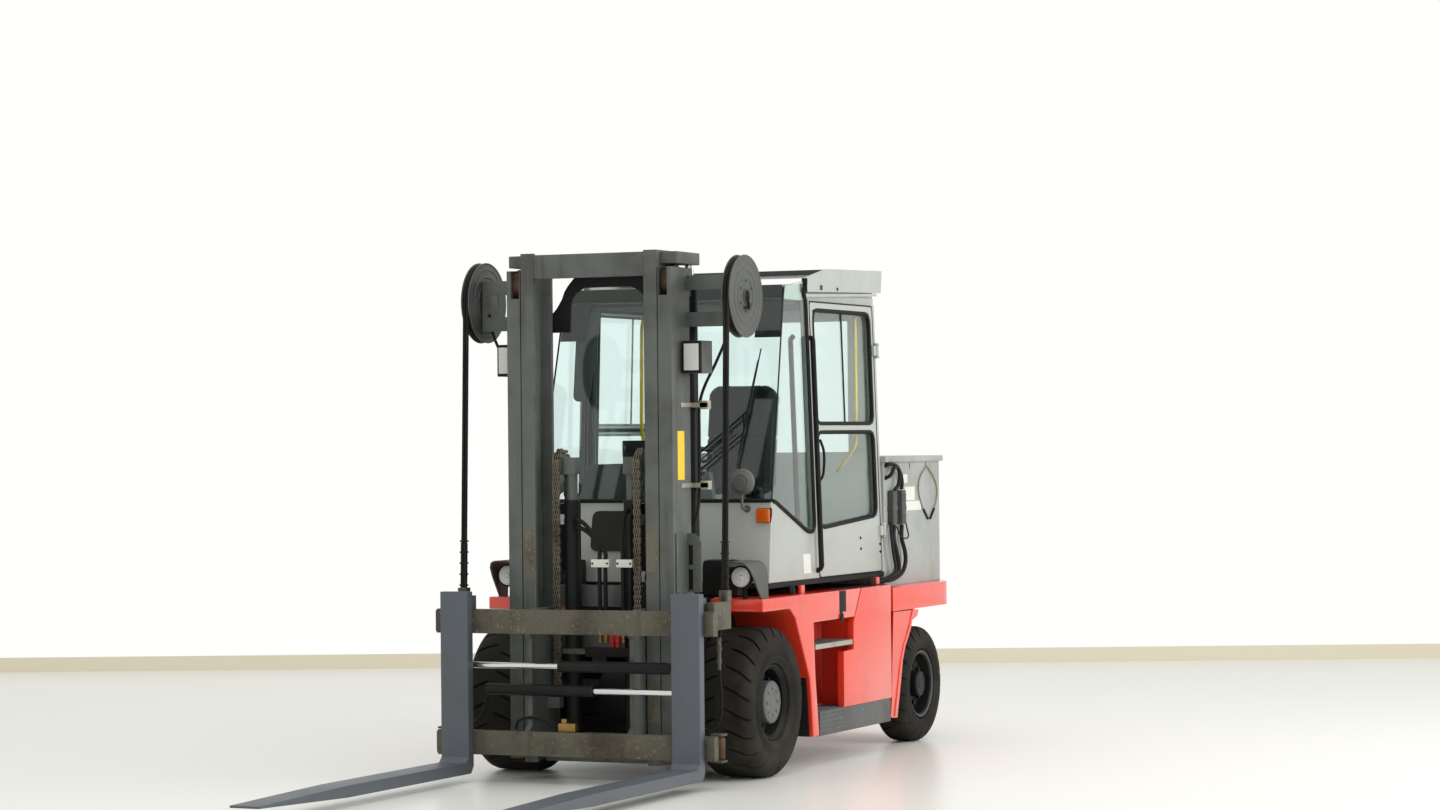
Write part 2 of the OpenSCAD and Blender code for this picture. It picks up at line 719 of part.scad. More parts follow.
module inner_uprights() {
    color(dark) place() both() {
        channel(inner_x, inner_out, mast_foot - 20, inner_top);
        bar_x(inner_out, outer_x + 6, channel_y, mast_foot + 130, 30);
        bar_x(outer_x + 5, outer_out - web_t - run_gap, channel_y, mast_foot + 130, roller_r);
    }
}

module inner_ties() {
    tie_z = outer_top + 19;
    color(dark) place() {
        both() block(inner_out, main_x + 52, -500, main_y + 30, tie_z, tie_z + 67);
        block(-inner_out, inner_out, -mast_back, main_y, tie_z, tie_z + 67);
        block(-inner_x, inner_x, -mast_front, -mast_front + 33, outer_top - 48, tie_z + 67);
        block(-inner_x, inner_x, lift_y - 50, -mast_back - 5, mast_foot - 20, mast_foot + 20);
    }
}

module main_rods() {
    color(chrome) place() both() bar_z(main_x, main_y, eye_z + 40, outer_top + 19, main_rod_r);
}

module lift_barrels() {
    color(dark) place() both() difference() {
        union() {
            bar_z(lift_x, lift_y, mast_foot + 20, lift_top, lift_r);
            block(lift_x, chain_x + 40, lift_y + sheave_r - 16, lift_y + sheave_r - 6, lift_top - 80, lift_top - 20);
            block(lift_x, lift_x + 20, lift_y, lift_y + sheave_r - 6, lift_top - 80, lift_top - 20);
        }
        bar_z(lift_x, lift_y, lift_top - 840, lift_top + 1, lift_rod_r + pin_gap);
    }
}

// Free-lift rods, yokes and sheaves
module crosshead() {
    color(dark) place() both() {
        bar_z(lift_x, lift_y, lift_top - 800, sheave_z - 55, lift_rod_r);
        block(lift_x - 36, chain_x - chain_w / 2 - 6, lift_y - 36, lift_y + 36, sheave_z - 55, sheave_z + 40);
        bar_x(chain_x - chain_w / 2 - 6, chain_x + chain_w / 2 + 14, lift_y, sheave_z, 20);
        bar_x(chain_x - chain_w / 2, chain_x + chain_w / 2, lift_y, sheave_z, sheave_r - 0.3);
    }
}

// The chain over a sheave and its tail down to the anchor on the cylinder
module chain_tails() {
    tail = 1010;
    color(black) place() both() {
        difference() {
            bar_x(chain_x - chain_w / 2, chain_x + chain_w / 2, lift_y, sheave_z, sheave_r + chain_t);
            bar_x(chain_x - chain_w, chain_x + chain_w, lift_y, sheave_z, sheave_r);
            block(chain_x - chain_w, chain_x + chain_w, lift_y - 200, lift_y + 200, sheave_z - 200, sheave_z);
        }
        block(chain_x - chain_w / 2, chain_x + chain_w / 2, lift_y + sheave_r, lift_y + sheave_r + chain_t,
            sheave_z - tail, sheave_z);
    }
}

anchor_z = 400;
module chain_fronts() {
    color(black) place() both() block(chain_x - chain_w / 2, chain_x + chain_w / 2, lift_y - sheave_r - chain_t,
        lift_y - sheave_r, anchor_z + 60, sheave_z);
}

// Carriage

module carriage_bars() {
    back = -bar_front + bar_t;
    color(dark) place() {
        for (z = [low_bar_z, high_bar_z]) block(-bar_half, bar_half, -bar_front, back, z, z + bar_h);
        both() {
            block(reel_x + 4, reel_x + reel_w - 4, back, -505, high_bar_z + 30, 1010);
            block(reel_x, reel_x + reel_w, -560, -505, 1010, hose_end[1] - 1);
        }
    }
}

module carriage_plates() {
    back = -bar_front + bar_t;
    deep = -mast_back - 32;
    color(dark) place() both() {
        side_plate(plate_x - 30, plate_x, [[back, low_bar_z], [back, low_bar_z + bar_h], [back + 40, low_bar_z + 164],
            [back + 40, high_bar_z - 30], [back, high_bar_z], [back, high_bar_z + 80], [back + 50, high_bar_z + 80],
            [back + 80, high_bar_z + bar_h], [deep, high_bar_z + bar_h], [deep, low_bar_z]]);
        for (z = [low_bar_z + 174, high_bar_z + 40]) {
            bar_x(plate_x, inner_x + 3, channel_y, z, 30);
            bar_x(inner_x + 2, inner_out - web_t - run_gap, channel_y, z, roller_r);
        }
        block(chain_x - chain_w / 2, plate_x - 30, lift_y - sheave_r - chain_t - 18, lift_y - sheave_r + 12,
            anchor_z, anchor_z + 60);
    }
}

pos_y = -bar_front + 42;
pos_high_z = 650;
pos_low_z = 518;
pos_open = 105;
pos_end = 560;
pos_inner = fork_travel + 30 - pos_end;
module positioner_barrels() {
    color(dark) place() {
        positioner_barrel(pos_high_z);
        mirror([1, 0, 0]) positioner_barrel(pos_low_z);
    }
}

// One barrel, open towards -X and clamped to a carriage plate
module positioner_barrel(z) {
    difference() {
        union() {
            bar_x(-pos_open, pos_end, pos_y, z, pos_r);
            block(plate_x - 30, plate_x, pos_y, -bar_front + bar_t + 40, z - 26, z + 26);
        }
        bar_x(-pos_open - 1, pos_end - 20, pos_y, z, pos_rod_r + pin_gap);
    }
}

// Forks

module fork() {
    hook = 3;
    x1 = fork_x + fork_w;
    top_hook = high_bar_z + bar_h + hook;
    color(dark) place() {
        side_plate(fork_x, x1, [[-shank_front, fork_top], [-bar_front - hook, fork_top], [-bar_front - hook, fork_z + 40],
            [-bar_front - hook - 30, fork_z], [-shank_front - fork_len * 0.6, fork_z], [-tip_reach, fork_z + 30],
            [-tip_reach, fork_z + 42], [-shank_front - fork_len * 0.6, fork_z + fork_t], [-shank_front - 30, fork_z + fork_t],
            [-shank_front, fork_z + fork_t + 30]]);
        side_plate(fork_x + 20, x1 - 20, [[-bar_front - hook, top_hook], [-bar_front - hook, top_hook + 70],
            [-bar_front + bar_t + 30, top_hook + 70], [-bar_front + bar_t + 30, top_hook - 40],
            [-bar_front + bar_t + hook, top_hook - 40], [-bar_front + bar_t + hook, top_hook]]);
    }
}

// A lug behind the shank that holds a positioner rod
module rod_lug(z) {
    place() difference() {
        block(fork_x + 60, fork_x + 110, -bar_front - 3, pos_y + 30, z - 30, z + 30);
        bar_x(fork_x, fork_x + fork_w, pos_y, z, pos_rod_r);
    }
}
module fork_left() {
    fork();
    color(dark) rod_lug(pos_low_z);
}
module fork_right() {
    mirror([1, 0, 0]) fork();
    color(dark) mirror([1, 0, 0]) rod_lug(pos_high_z);
}
module fork_rod(z) { color(chrome) place() bar_x(pos_inner, fork_x + 115, pos_y, z, pos_rod_r); }
module fork_left_rod() { fork_rod(pos_low_z); }
module fork_right_rod() { mirror([1, 0, 0]) fork_rod(pos_high_z); }

// Tilt cylinders

// Moves a piece drawn up from the origin onto the line from a cylinder's foot to its eye
module on_tilt() {
    translate([tilt_x, tilt_foot_y, tilt_foot_z]) rotate([90 - tilt_angle, 0, 0]) children();
}

module tilt_barrels() {
    color(dark) place() both() on_tilt() difference() {
        union() {
            translate([-20, 0, 0]) rotate([0, 90, 0]) cylinder(h = 40, r = 32);
            block(-20, 20, -28, 28, 0, 50);
            translate([0, 0, 45]) cylinder(h = 430, r = tilt_r);
        }
        translate([-21, 0, 0]) rotate([0, 90, 0]) cylinder(h = 42, r = eye_pin_r + pin_gap);
        translate([0, 0, 150]) cylinder(h = 330, r = tilt_rod_r + pin_gap);
    }
}

module tilt_rods() {
    color(chrome) place() both() on_tilt() difference() {
        union() {
            translate([0, 0, 290]) cylinder(h = tilt_run - 300, r = tilt_rod_r);
            translate([-20, 0, tilt_run]) rotate([0, 90, 0]) cylinder(h = 40, r = 32);
        }
        translate([-30, 0, tilt_run]) rotate([0, 90, 0]) cylinder(h = 60, r = eye_pin_r + run_gap);
    }
}

frame();
fenders();
mudguards();
steps();
side_boxes();
side_panels();
counterweight();
battery_box();
drive_axle();
steer_axle();
cab_floor();
cab_mounts();
cab_cowl();
cab_sides();
cab_rear();
roof();
cab_glass();
seat_base();
seat_cushion();
seat_back();
steering_column();
front_lamps();
mirrors();
door_left();
door_left_glass();
door_right();
door_right_glass();
outer_uprights();
outer_ties();
main_barrels();
hose_reels();
work_lamps();
hose_drops();
inner_uprights();
inner_ties();
main_rods();
lift_barrels();
crosshead();
chain_tails();
chain_fronts();
carriage_bars();
carriage_plates();
positioner_barrels();
fork_left();
fork_right();
fork_left_rod();
fork_right_rod();
tilt_barrels();
tilt_rods();
knuckle_left();
knuckle_right();
tyre_front_left();
tyre_front_right();
tyre_rear_left();
tyre_rear_right();
rim_front_left();
rim_front_right();
rim_rear_left();
rim_rear_right();
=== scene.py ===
# %% [markdown]
# # Dressing an electric counterbalance forklift
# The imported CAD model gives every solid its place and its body. This lesson adds the paint, rubber, glass,
# hoses, chains and small fittings that make it look like the working truck in the photograph.
# All lengths below are written in millimetres from the front axle, because the truck was measured that way.

# %% Load the frame
import json
import math

import bmesh
import bpy
from mathutils import Matrix, Vector


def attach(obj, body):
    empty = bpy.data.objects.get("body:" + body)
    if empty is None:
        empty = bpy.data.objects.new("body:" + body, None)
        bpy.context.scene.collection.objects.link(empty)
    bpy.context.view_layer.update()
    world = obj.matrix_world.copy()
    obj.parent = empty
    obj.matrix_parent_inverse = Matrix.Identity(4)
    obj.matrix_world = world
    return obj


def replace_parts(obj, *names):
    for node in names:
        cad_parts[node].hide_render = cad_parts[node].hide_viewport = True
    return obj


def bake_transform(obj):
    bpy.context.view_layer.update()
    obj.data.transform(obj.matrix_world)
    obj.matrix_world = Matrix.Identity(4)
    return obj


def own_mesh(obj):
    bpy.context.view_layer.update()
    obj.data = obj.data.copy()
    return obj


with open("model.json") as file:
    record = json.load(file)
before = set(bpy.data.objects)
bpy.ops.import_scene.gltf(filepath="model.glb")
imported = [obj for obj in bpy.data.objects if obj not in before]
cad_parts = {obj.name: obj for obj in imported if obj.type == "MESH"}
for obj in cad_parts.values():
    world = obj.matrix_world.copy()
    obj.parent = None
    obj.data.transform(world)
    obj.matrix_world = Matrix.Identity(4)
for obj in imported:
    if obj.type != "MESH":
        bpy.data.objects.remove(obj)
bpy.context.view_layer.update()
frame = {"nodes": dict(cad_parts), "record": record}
AXLE_SHIFT = -0.001
SIDES = ((1, "left"), (-1, "right"))


def at(x, y, z):
    """A point given in millimetres from the front axle, in the frame's metres."""
    return Vector((x / 1000, y / 1000 + AXLE_SHIFT, z / 1000))


# %% [markdown]
# ## Camera, floor and light
# The photograph was taken with a long lens from the front left corner, at about the height of a standing person.
# Its place was solved from the straight edges of the mast and the round wheels, so the camera here is set by
# numbers and not by eye. The hall is white, so the world is white to the camera, and the floor is a pale, slightly
# glossy coating that takes a soft shadow.

# %% Camera
VIEW_TURN, VIEW_PITCH, VIEW_ROLL = math.radians(24.05), math.radians(0.52), math.radians(-0.568)
CAMERA_PLACE, FOCAL_LENGTH, SENSOR_WIDTH, FAR_CLIP = at(8514.5, -17847.5, 1909.4), 86.74, 36, 200
ahead = Vector((-math.sin(VIEW_TURN) * math.cos(VIEW_PITCH), math.cos(VIEW_TURN) * math.cos(VIEW_PITCH),
                math.sin(VIEW_PITCH)))
right = Vector((math.cos(VIEW_TURN), math.sin(VIEW_TURN), 0))
upward = right.cross(ahead)
turned_right = right * math.cos(VIEW_ROLL) + upward * math.sin(VIEW_ROLL)
turned_up = upward * math.cos(VIEW_ROLL) - right * math.sin(VIEW_ROLL)
camera_data = bpy.data.cameras.new("photo_camera")
camera_data.sensor_width = SENSOR_WIDTH
camera_data.lens = FOCAL_LENGTH
camera_data.clip_end = FAR_CLIP
camera = bpy.data.objects.new("photo_camera", camera_data)
bpy.context.scene.collection.objects.link(camera)
camera_axes = Matrix((turned_right, turned_up, -ahead)).transposed().to_4x4()
camera.matrix_world = Matrix.Translation(CAMERA_PLACE) @ camera_axes
bpy.context.scene.camera = camera
bpy.context.scene.view_settings.view_transform = "Standard"
print("camera at", [round(v, 2) for v in camera.location])


# %% Colours and nodes
def plain_colour(r, g, b):
    """A colour written as 0 to 255 on screen, as the linear colour that the shader wants."""
    return tuple((c / 255 / 12.92) if c / 255 <= 0.04045 else ((c / 255 + 0.055) / 1.055) ** 2.4
                 for c in (r, g, b)) + (1.0,)


def feed(node, inputs):
    """Sets each named input of a node to a value, or links it to another node's output."""
    for key, value in inputs.items():
        if isinstance(value, bpy.types.NodeSocket):
            node.id_data.links.new(value, node.inputs[key])
        else:
            node.inputs[key].default_value = value


def add_node(tree, kind, inputs=None, **settings):
    node = tree.nodes.new(kind)
    for key, value in settings.items():
        setattr(node, key, value)
    feed(node, inputs or {})
    return node


def new_material(name):
    material = bpy.data.materials.new(name)
    material.use_nodes = True
    return material, material.node_tree.nodes["Principled BSDF"]


# %% Floor and light
FLOOR_REACH, FLOOR_SIDE, SKIRTING, HALL_LIGHT = 29.0, 60.0, 0.12, 0.82
floor_material, floor_shader = new_material("pale_floor_coating")
feed(floor_shader, {"Base Color": plain_colour(240, 240, 233), "Roughness": 0.28, "Specular IOR Level": 0.35})
skirting_material, skirting_shader = new_material("pale_skirting")
feed(skirting_shader, {"Base Color": plain_colour(226, 218, 196)})
level_ahead = Vector((ahead.x, ahead.y, 0)).normalized()
wall_foot = Vector((camera.location.x, camera.location.y, 0)) + level_ahead * FLOOR_REACH


def stage_sheet(name, corners, material):
    mesh = bpy.data.meshes.new(name)
    mesh.from_pydata([tuple(c) for c in corners], [], [(0, 1, 2, 3)])
    mesh.materials.append(material)
    sheet = bpy.data.objects.new(name, mesh)
    bpy.context.scene.collection.objects.link(sheet)


far_left, far_right = wall_foot - right * FLOOR_SIDE, wall_foot + right * FLOOR_SIDE
back, rise = level_ahead * -2 * FLOOR_SIDE, Vector((0, 0, SKIRTING))
stage_sheet("floor", (far_left + back, far_right + back, far_right, far_left), floor_material)
stage_sheet("skirting", (far_left, far_right, far_right + rise, far_left + rise), skirting_material)

world = bpy.data.worlds.new("white_hall")
bpy.context.scene.world = world
world.use_nodes = True
hall = world.node_tree
rays = add_node(hall, "ShaderNodeLightPath").outputs
seen = add_node(hall, "ShaderNodeMath", {0: rays["Is Camera Ray"], 1: rays["Is Transmission Ray"]}, operation="MAXIMUM")
level = add_node(hall, "ShaderNodeMapRange", {"Value": seen.outputs[0], "To Min": HALL_LIGHT, "To Max": 1.0})
feed(hall.nodes["Background"], {"Color": (1.0, 1.0, 0.985, 1), "Strength": level.outputs["Result"]})


def soft_light(name, place, aim, size, power):
    data = bpy.data.lights.new(name, "AREA")
    data.shape = "RECTANGLE"
    data.size, data.size_y = size
    data.energy = power
    lamp = bpy.data.objects.new(name, data)
    bpy.context.scene.collection.objects.link(lamp)
    lamp.location = place
    lamp.rotation_euler = (Vector(aim) - Vector(place)).to_track_quat("-Z", "Y").to_euler()


# Name, place, aim, size in metres and power in watts
for panel in (("ceiling_panel", (1.5, -1.5, 8.5), (0, 0, 0), (9, 9), 170),
              ("side_panel", (9.5, 2.0, 4.5), (0, 0.5, 1.2), (6, 6), 430),
              ("front_panel", (2.5, -11.0, 5.0), (0, 0, 1.2), (7, 5), 60)):
    soft_light(*panel)
print("lights and floor are set")

# %% [markdown]
# ## Finishes
# A working truck has few surfaces that are one flat colour. Sprayed enamel has a fine orange peel, chips where
# loads knock it and grime that runs down. One shader group makes all of that from noise on Object coordinates,
# and each material places it with its own colours and amounts. Masks come from the group, while the shader itself
# stays in the material.


# %% The worn coat group
def new_socket(group, name, way, kind, value=None):
    socket = group.interface.new_socket(name=name, in_out=way, socket_type="NodeSocket" + kind)
    if value is not None:
        socket.default_value = value
    return socket


def build_worn_coat():
    """Shader group: a coat with soil, streaks, chips and orange peel, from noise on Object coordinates."""
    group = bpy.data.node_groups.new("worn_coat", "ShaderNodeTree")
    for name, value in (("Coat", (0.5, 0.5, 0.5, 1)), ("Bare", (0.2, 0.2, 0.2, 1)), ("Grime", (0.1, 0.08, 0.06, 1))):
        new_socket(group, name, "INPUT", "Color", value)
    for name, value in (("Chips", 0.3), ("Soil", 0.4), ("Streaks", 0.3), ("Roughness", 0.4), ("Scale", 1.0)):
        new_socket(group, name, "INPUT", "Float", value)
    for name, kind in (("Color", "Color"), ("Roughness", "Float"), ("Height", "Float")):
        new_socket(group, name, "OUTPUT", kind)
    taken = add_node(group, "NodeGroupInput").outputs
    place = add_node(group, "ShaderNodeTexCoord").outputs["Object"]
    sized = add_node(group, "ShaderNodeVectorMath", operation="SCALE")
    feed(sized, {0: place, "Scale": taken["Scale"]})

    def noise(scale, detail, stretch=None):
        where = sized.outputs[0]
        if stretch:
            where = add_node(group, "ShaderNodeMapping", {"Vector": where, "Scale": stretch}).outputs[0]
        return add_node(group, "ShaderNodeTexNoise", {"Vector": where, "Scale": scale, "Detail": detail,
                                                      "Roughness": 0.62}).outputs["Fac"]

    def band(value, low, high, amount):
        step = add_node(group, "ShaderNodeMapRange", {"Value": value, "From Min": low, "From Max": high},
                        interpolation_type="SMOOTHSTEP")
        return add_node(group, "ShaderNodeMath", {0: step.outputs["Result"], 1: amount},
                        operation="MULTIPLY").outputs[0]

    def mix(share, a, b):
        return add_node(group, "ShaderNodeMix", {"Factor": share, "A": a, "B": b}, data_type="RGBA").outputs["Result"]

    def times_plus(value, times, plus):
        return add_node(group, "ShaderNodeMath", {0: value, 1: times, 2: plus}, operation="MULTIPLY_ADD").outputs[0]

    soil = band(noise(2.6, 6), 0.42, 0.72, taken["Soil"])
    streaks = band(noise(9.0, 4, (1, 1, 0.09)), 0.5, 0.75, taken["Streaks"])
    chips = band(noise(34.0, 5), 0.60, 0.66, taken["Chips"])
    fine = noise(420.0, 2)
    colour = mix(soil, taken["Coat"], taken["Grime"])
    colour = mix(streaks, colour, taken["Grime"])
    colour = mix(chips, colour, taken["Bare"])
    rough = times_plus(fine, 0.10, times_plus(soil, 0.28, taken["Roughness"]))
    add_node(group, "NodeGroupOutput", {"Color": colour, "Roughness": rough, "Height": times_plus(chips, -1.6, fine)})
    return group


worn_coat = build_worn_coat()
print("the worn coat group has", len(worn_coat.nodes), "nodes")

# %% Materials from the group
BUMP_DEPTH, CLEAR_ROUGHNESS = 0.0012, 0.12


def coated(name, coat, bare, grime, chips=0.3, soil=0.4, streaks=0.2, roughness=0.4, scale=1.0, bump=0.10, metal=0.0,
           clear=0.0):
    """A material whose colour, gloss and bump come from the worn coat group."""
    material, shader = new_material(name)
    worn = add_node(material.node_tree, "ShaderNodeGroup", {
        "Coat": plain_colour(*coat), "Bare": plain_colour(*bare), "Grime": plain_colour(*grime), "Chips": chips,
        "Soil": soil, "Streaks": streaks, "Roughness": roughness, "Scale": scale}, node_tree=worn_coat).outputs
    relief = add_node(material.node_tree, "ShaderNodeBump", {"Strength": bump, "Distance": BUMP_DEPTH,
                                                             "Height": worn["Height"]})
    feed(shader, {"Base Color": worn["Color"], "Roughness": worn["Roughness"], "Normal": relief.outputs["Normal"],
                  "Metallic": metal, "Coat Weight": clear, "Coat Roughness": CLEAR_ROUGHNESS})
    return material


RED = coated("red_enamel", (234, 62, 38), (120, 20, 14), (150, 42, 28), 0.10, 0.20, 0.10, 0.24, 1.0, 0.05, 0.0, 1.0)
CAB = coated("cab_grey_enamel", (174, 178, 172), (120, 120, 116), (150, 148, 138), 0.06, 0.25, 0.15, 0.30, 1.0, 0.05,
             0.0, 0.25)
MAST = coated("mast_grey_paint", (91, 96, 92), (96, 82, 64), (52, 48, 42), 0.35, 0.55, 0.60, 0.42, 1.0, 0.14)
FORK = coated("fork_grey_paint", (84, 90, 97), (60, 58, 56), (66, 68, 70), 0.08, 0.25, 0.12, 0.36, 1.0, 0.06)
BAR = coated("worn_carriage_steel", (92, 88, 75), (136, 116, 86), (56, 48, 38), 0.85, 0.80, 0.70, 0.46, 1.3, 0.20, 0.25)
BLACK = coated("black_chassis_paint", (30, 31, 31), (58, 54, 50), (58, 54, 48), 0.15, 0.45, 0.20, 0.48, 1.0, 0.10)
CYLINDER = coated("black_cylinder_paint", (26, 27, 28), (70, 66, 60), (48, 44, 40), 0.12, 0.30, 0.20, 0.30, 1.0, 0.06)
PLASTIC = coated("black_moulded_plastic", (24, 25, 26), (40, 40, 40), (52, 50, 46), 0.0, 0.30, 0.10, 0.42, 1.0, 0.25)
RUBBER = coated("tyre_rubber", (31, 30, 27), (46, 43, 38), (68, 63, 53), 0.10, 0.60, 0.0, 0.66, 1.4, 0.30)
SEAL = coated("seal_rubber", (28, 29, 29), (44, 44, 42), (60, 58, 54), 0.0, 0.30, 0.0, 0.55, 1.0, 0.15)
HOSE = coated("hose_rubber", (26, 26, 27), (46, 44, 40), (60, 54, 46), 0.10, 0.35, 0.0, 0.46, 2.0, 0.20)
BATTERY = coated("battery_grey_enamel", (166, 171, 168), (110, 108, 102), (120, 118, 110), 0.12, 0.35, 0.25, 0.40, 1.0,
                 0.08)
STEP = coated("step_grey_paint", (88, 90, 90), (140, 140, 136), (70, 66, 60), 0.40, 0.50, 0.0, 0.46, 1.0, 0.12)
REEL = coated("reel_grey_paint", (76, 79, 75), (60, 58, 54), (74, 72, 66), 0.25, 0.40, 0.20, 0.38, 1.0, 0.10)
DARK_HUB = coated("oily_dark_steel", (34, 33, 32), (70, 62, 52), (48, 42, 34), 0.3, 0.5, 0.2, 0.38, 2.0, 0.2, 0.4)
CHAIN = coated("oiled_chain_steel", (124, 116, 100), (150, 140, 120), (34, 30, 26), 0.3, 0.5, 0.2, 0.36, 3.0, 0.2, 0.35)
RUST = coated("browned_roller_steel", (92, 66, 48), (120, 92, 68), (58, 42, 32), 0.4, 0.5, 0.1, 0.48, 2.0, 0.2, 0.5)
CHROME = coated("polished_rod", (226, 227, 228), (196, 196, 198), (170, 168, 164), 0.05, 0.12, 0.0, 0.10, 1.0,
                0.01, 1.0)
ZINC = coated("zinc_plate", (186, 184, 172), (150, 146, 132), (120, 112, 96), 0.2, 0.4, 0.1, 0.34, 2.0, 0.1, 0.7)
BRASS = coated("brass_fitting", (158, 128, 72), (150, 118, 60), (96, 78, 48), 0.2, 0.4, 0.0, 0.30, 2.0, 0.08, 0.9)
RIM = coated("black_rim_enamel", (26, 27, 28), (60, 58, 56), (70, 66, 60), 0.12, 0.40, 0.0, 0.34, 1.2, 0.06)
HUB = coated("grey_hub_enamel", (92, 95, 91), (70, 68, 64), (80, 76, 70), 0.10, 0.40, 0.10, 0.40, 1.2, 0.06)
YELLOW = coated("yellow_plate", (238, 204, 44), (170, 140, 30), (168, 150, 60), 0.05, 0.20, 0.10, 0.42, 1.0, 0.03)
PALE_PLATE = coated("pale_plate", (224, 224, 216), (170, 168, 160), (180, 176, 164), 0.05, 0.25, 0.10, 0.45, 1.0, 0.03)
CABLE = coated("cable_jacket", (30, 30, 31), (52, 50, 48), (66, 62, 56), 0.0, 0.35, 0.0, 0.48, 2.0, 0.1)
TAN_CABLE = coated("tan_cable_jacket", (150, 140, 116), (120, 110, 90), (104, 96, 80), 0.0, 0.35, 0.0, 0.5, 2.0, 0.08)
CONNECTOR = coated("grey_connector_plastic", (62, 63, 64), (90, 90, 90), (84, 80, 74), 0.0, 0.30, 0.0, 0.42, 2.0, 0.1)
RED_CAP = coated("red_moulded_cap", (186, 36, 28), (120, 24, 20), (96, 34, 28), 0.0, 0.35, 0.0, 0.36, 2.0, 0.05)
RUBBED = coated("rubbed_mast_paint", (102, 99, 85), (158, 134, 94), (74, 66, 50), 1.0, 0.70, 0.75, 0.40, 1.6, 0.16, 0.1)
# The hatch is a darker grey plastic, and its colour is darkened further to paint in the shade on the forward-facing
# cowl.
SHADED_HATCH = coated("hatch_plastic_with_painted_shade", (48, 50, 46), (70, 70, 68), (66, 64, 58), 0.0, 0.30, 0.1, 0.5, 1.0, 0.15)
LINING = coated("dark_green_lining", (52, 60, 55), (80, 84, 80), (60, 62, 58), 0.0, 0.25, 0.0, 0.7, 1.0, 0.25)
FABRIC = coated("seat_cloth", (30, 35, 33), (44, 48, 46), (24, 27, 26), 0.10, 0.35, 0.0, 0.86, 2.5, 0.6)
TRIM = coated("dark_cab_trim", (52, 55, 55), (70, 72, 70), (70, 68, 64), 0.0, 0.25, 0.0, 0.6, 1.0, 0.3)
print(len(bpy.data.materials), "paints, rubbers and metals, with the floor's two")

# %% Dull blacks, glass and lenses
# Black surfaces would mirror the white hall and turn grey, so their shine is low.
DARK_SHINE = 0.15
for dark in (BLACK, CYLINDER, PLASTIC, RUBBER, SEAL, HOSE, RIM, CABLE, SHADED_HATCH, DARK_HUB):
    feed(dark.node_tree.nodes["Principled BSDF"], {"Specular IOR Level": DARK_SHINE})
SMEAR, GLASS_BEND = 0.06, 1.45


def clear_material(name, colour, roughness, transmission, metal=0.0):
    """Glass, lens or mirror whose gloss varies a little, as if it had been wiped."""
    material, shader = new_material(name)
    tree = material.node_tree
    place = add_node(tree, "ShaderNodeTexCoord").outputs["Object"]
    smear = add_node(tree, "ShaderNodeTexNoise", {"Vector": place, "Scale": 5.0, "Detail": 5.0})
    span = add_node(tree, "ShaderNodeMapRange", {"Value": smear.outputs["Fac"], "To Min": roughness,
                                                 "To Max": roughness + SMEAR})
    feed(shader, {"Base Color": plain_colour(*colour), "Transmission Weight": transmission, "IOR": GLASS_BEND,
                  "Metallic": metal, "Roughness": span.outputs["Result"]})
    return material


GLASS = clear_material("green_tinted_glass", (240, 251, 249), 0.0, 1.0)
LENS = clear_material("lamp_lens", (246, 246, 240), 0.10, 0.35)
ORANGE = clear_material("orange_lens", (250, 112, 18), 0.12, 0.30)
MIRROR = clear_material("mirror_glass", (186, 190, 192), 0.03, 0.0, 1.0)
LIGHT_TINT = (0.86, 0.95, 0.92, 1)


def let_light_through(material):
    """Window glass lets lamps light the cab: shadow rays pass, tinted, and the rest meets the real glass."""
    tree = material.node_tree
    shadow = add_node(tree, "ShaderNodeLightPath").outputs["Is Shadow Ray"]
    pane = add_node(tree, "ShaderNodeBsdfTransparent", {"Color": LIGHT_TINT})
    choose = add_node(tree, "ShaderNodeMixShader", {"Fac": shadow, 1: tree.nodes["Principled BSDF"].outputs[0],
                                                    2: pane.outputs[0]})
    feed(tree.nodes["Material Output"], {"Surface": choose.outputs[0]})


let_light_through(GLASS)
print(len(bpy.data.materials), "materials in all")

# %% [markdown]
# ## Soft edges on the CAD solids
# Folded and flame-cut steel never has a razor edge, and the thin highlight along an edge is what makes a render
# read as metal. Each rigid solid is copied, its triangles are merged back into flat faces, and the sharp edges get
# a small bevel. The copy stands for its node, so nothing moves and nothing grows.


# %% Helpers that make a piece
SHARP = math.radians(32)


def add_piece(name, mesh, material, body, smooth=35):
    obj = bpy.data.objects.new(name, mesh)
    bpy.context.scene.collection.objects.link(obj)
    mesh.materials.clear()
    mesh.materials.append(material)
    mesh.shade_smooth()
    mesh.set_sharp_from_angle(angle=math.radians(smooth))
    if body:
        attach(obj, body)
    return obj


def from_bmesh(name, bm, material, body, smooth=35, outward=True):
    bmesh.ops.remove_doubles(bm, verts=bm.verts, dist=1e-6)
    if outward:
        bmesh.ops.recalc_face_normals(bm, faces=bm.faces)
    mesh = bpy.data.meshes.new(name)
    bm.to_mesh(mesh)
    bm.free()
    return add_piece(name, mesh, material, body, smooth)


def bevel_sharp(bm, width):
    """Rounds the edges that turn by more than 32 degrees, by a width in millimetres."""
    edges = [e for e in bm.edges if len(e.link_faces) == 2 and e.calc_face_angle(0) > SHARP]
    bmesh.ops.bevel(bm, geom=edges, offset=width / 1000, segments=2, profile=0.7, affect="EDGES", clamp_overlap=True)


def prism(bm, near, far):
    """A closed plate between two matching outlines of points in metres."""
    front, rear = [[bm.verts.new(p) for p in outline] for outline in (near, far)]
    bm.faces.new(front)
    bm.faces.new(rear[::-1])
    for k in range(len(front)):
        j = (k + 1) % len(front)
        bm.faces.new((front[k], rear[k], rear[j], front[j]))


def prism_piece(name, body, material, plates, bevel, smooth=40):
    """A piece made of one or more plates, each given by its two outlines."""
    bm = bmesh.new()
    for near, far in plates:
        prism(bm, near, far)
    if bevel:
        bevel_sharp(bm, bevel)
    return from_bmesh(name, bm, material, body, smooth)


def body_of_node(node):
    return next(b for b, members in frame["record"]["behaviour"]["bodies"].items() if node in members)


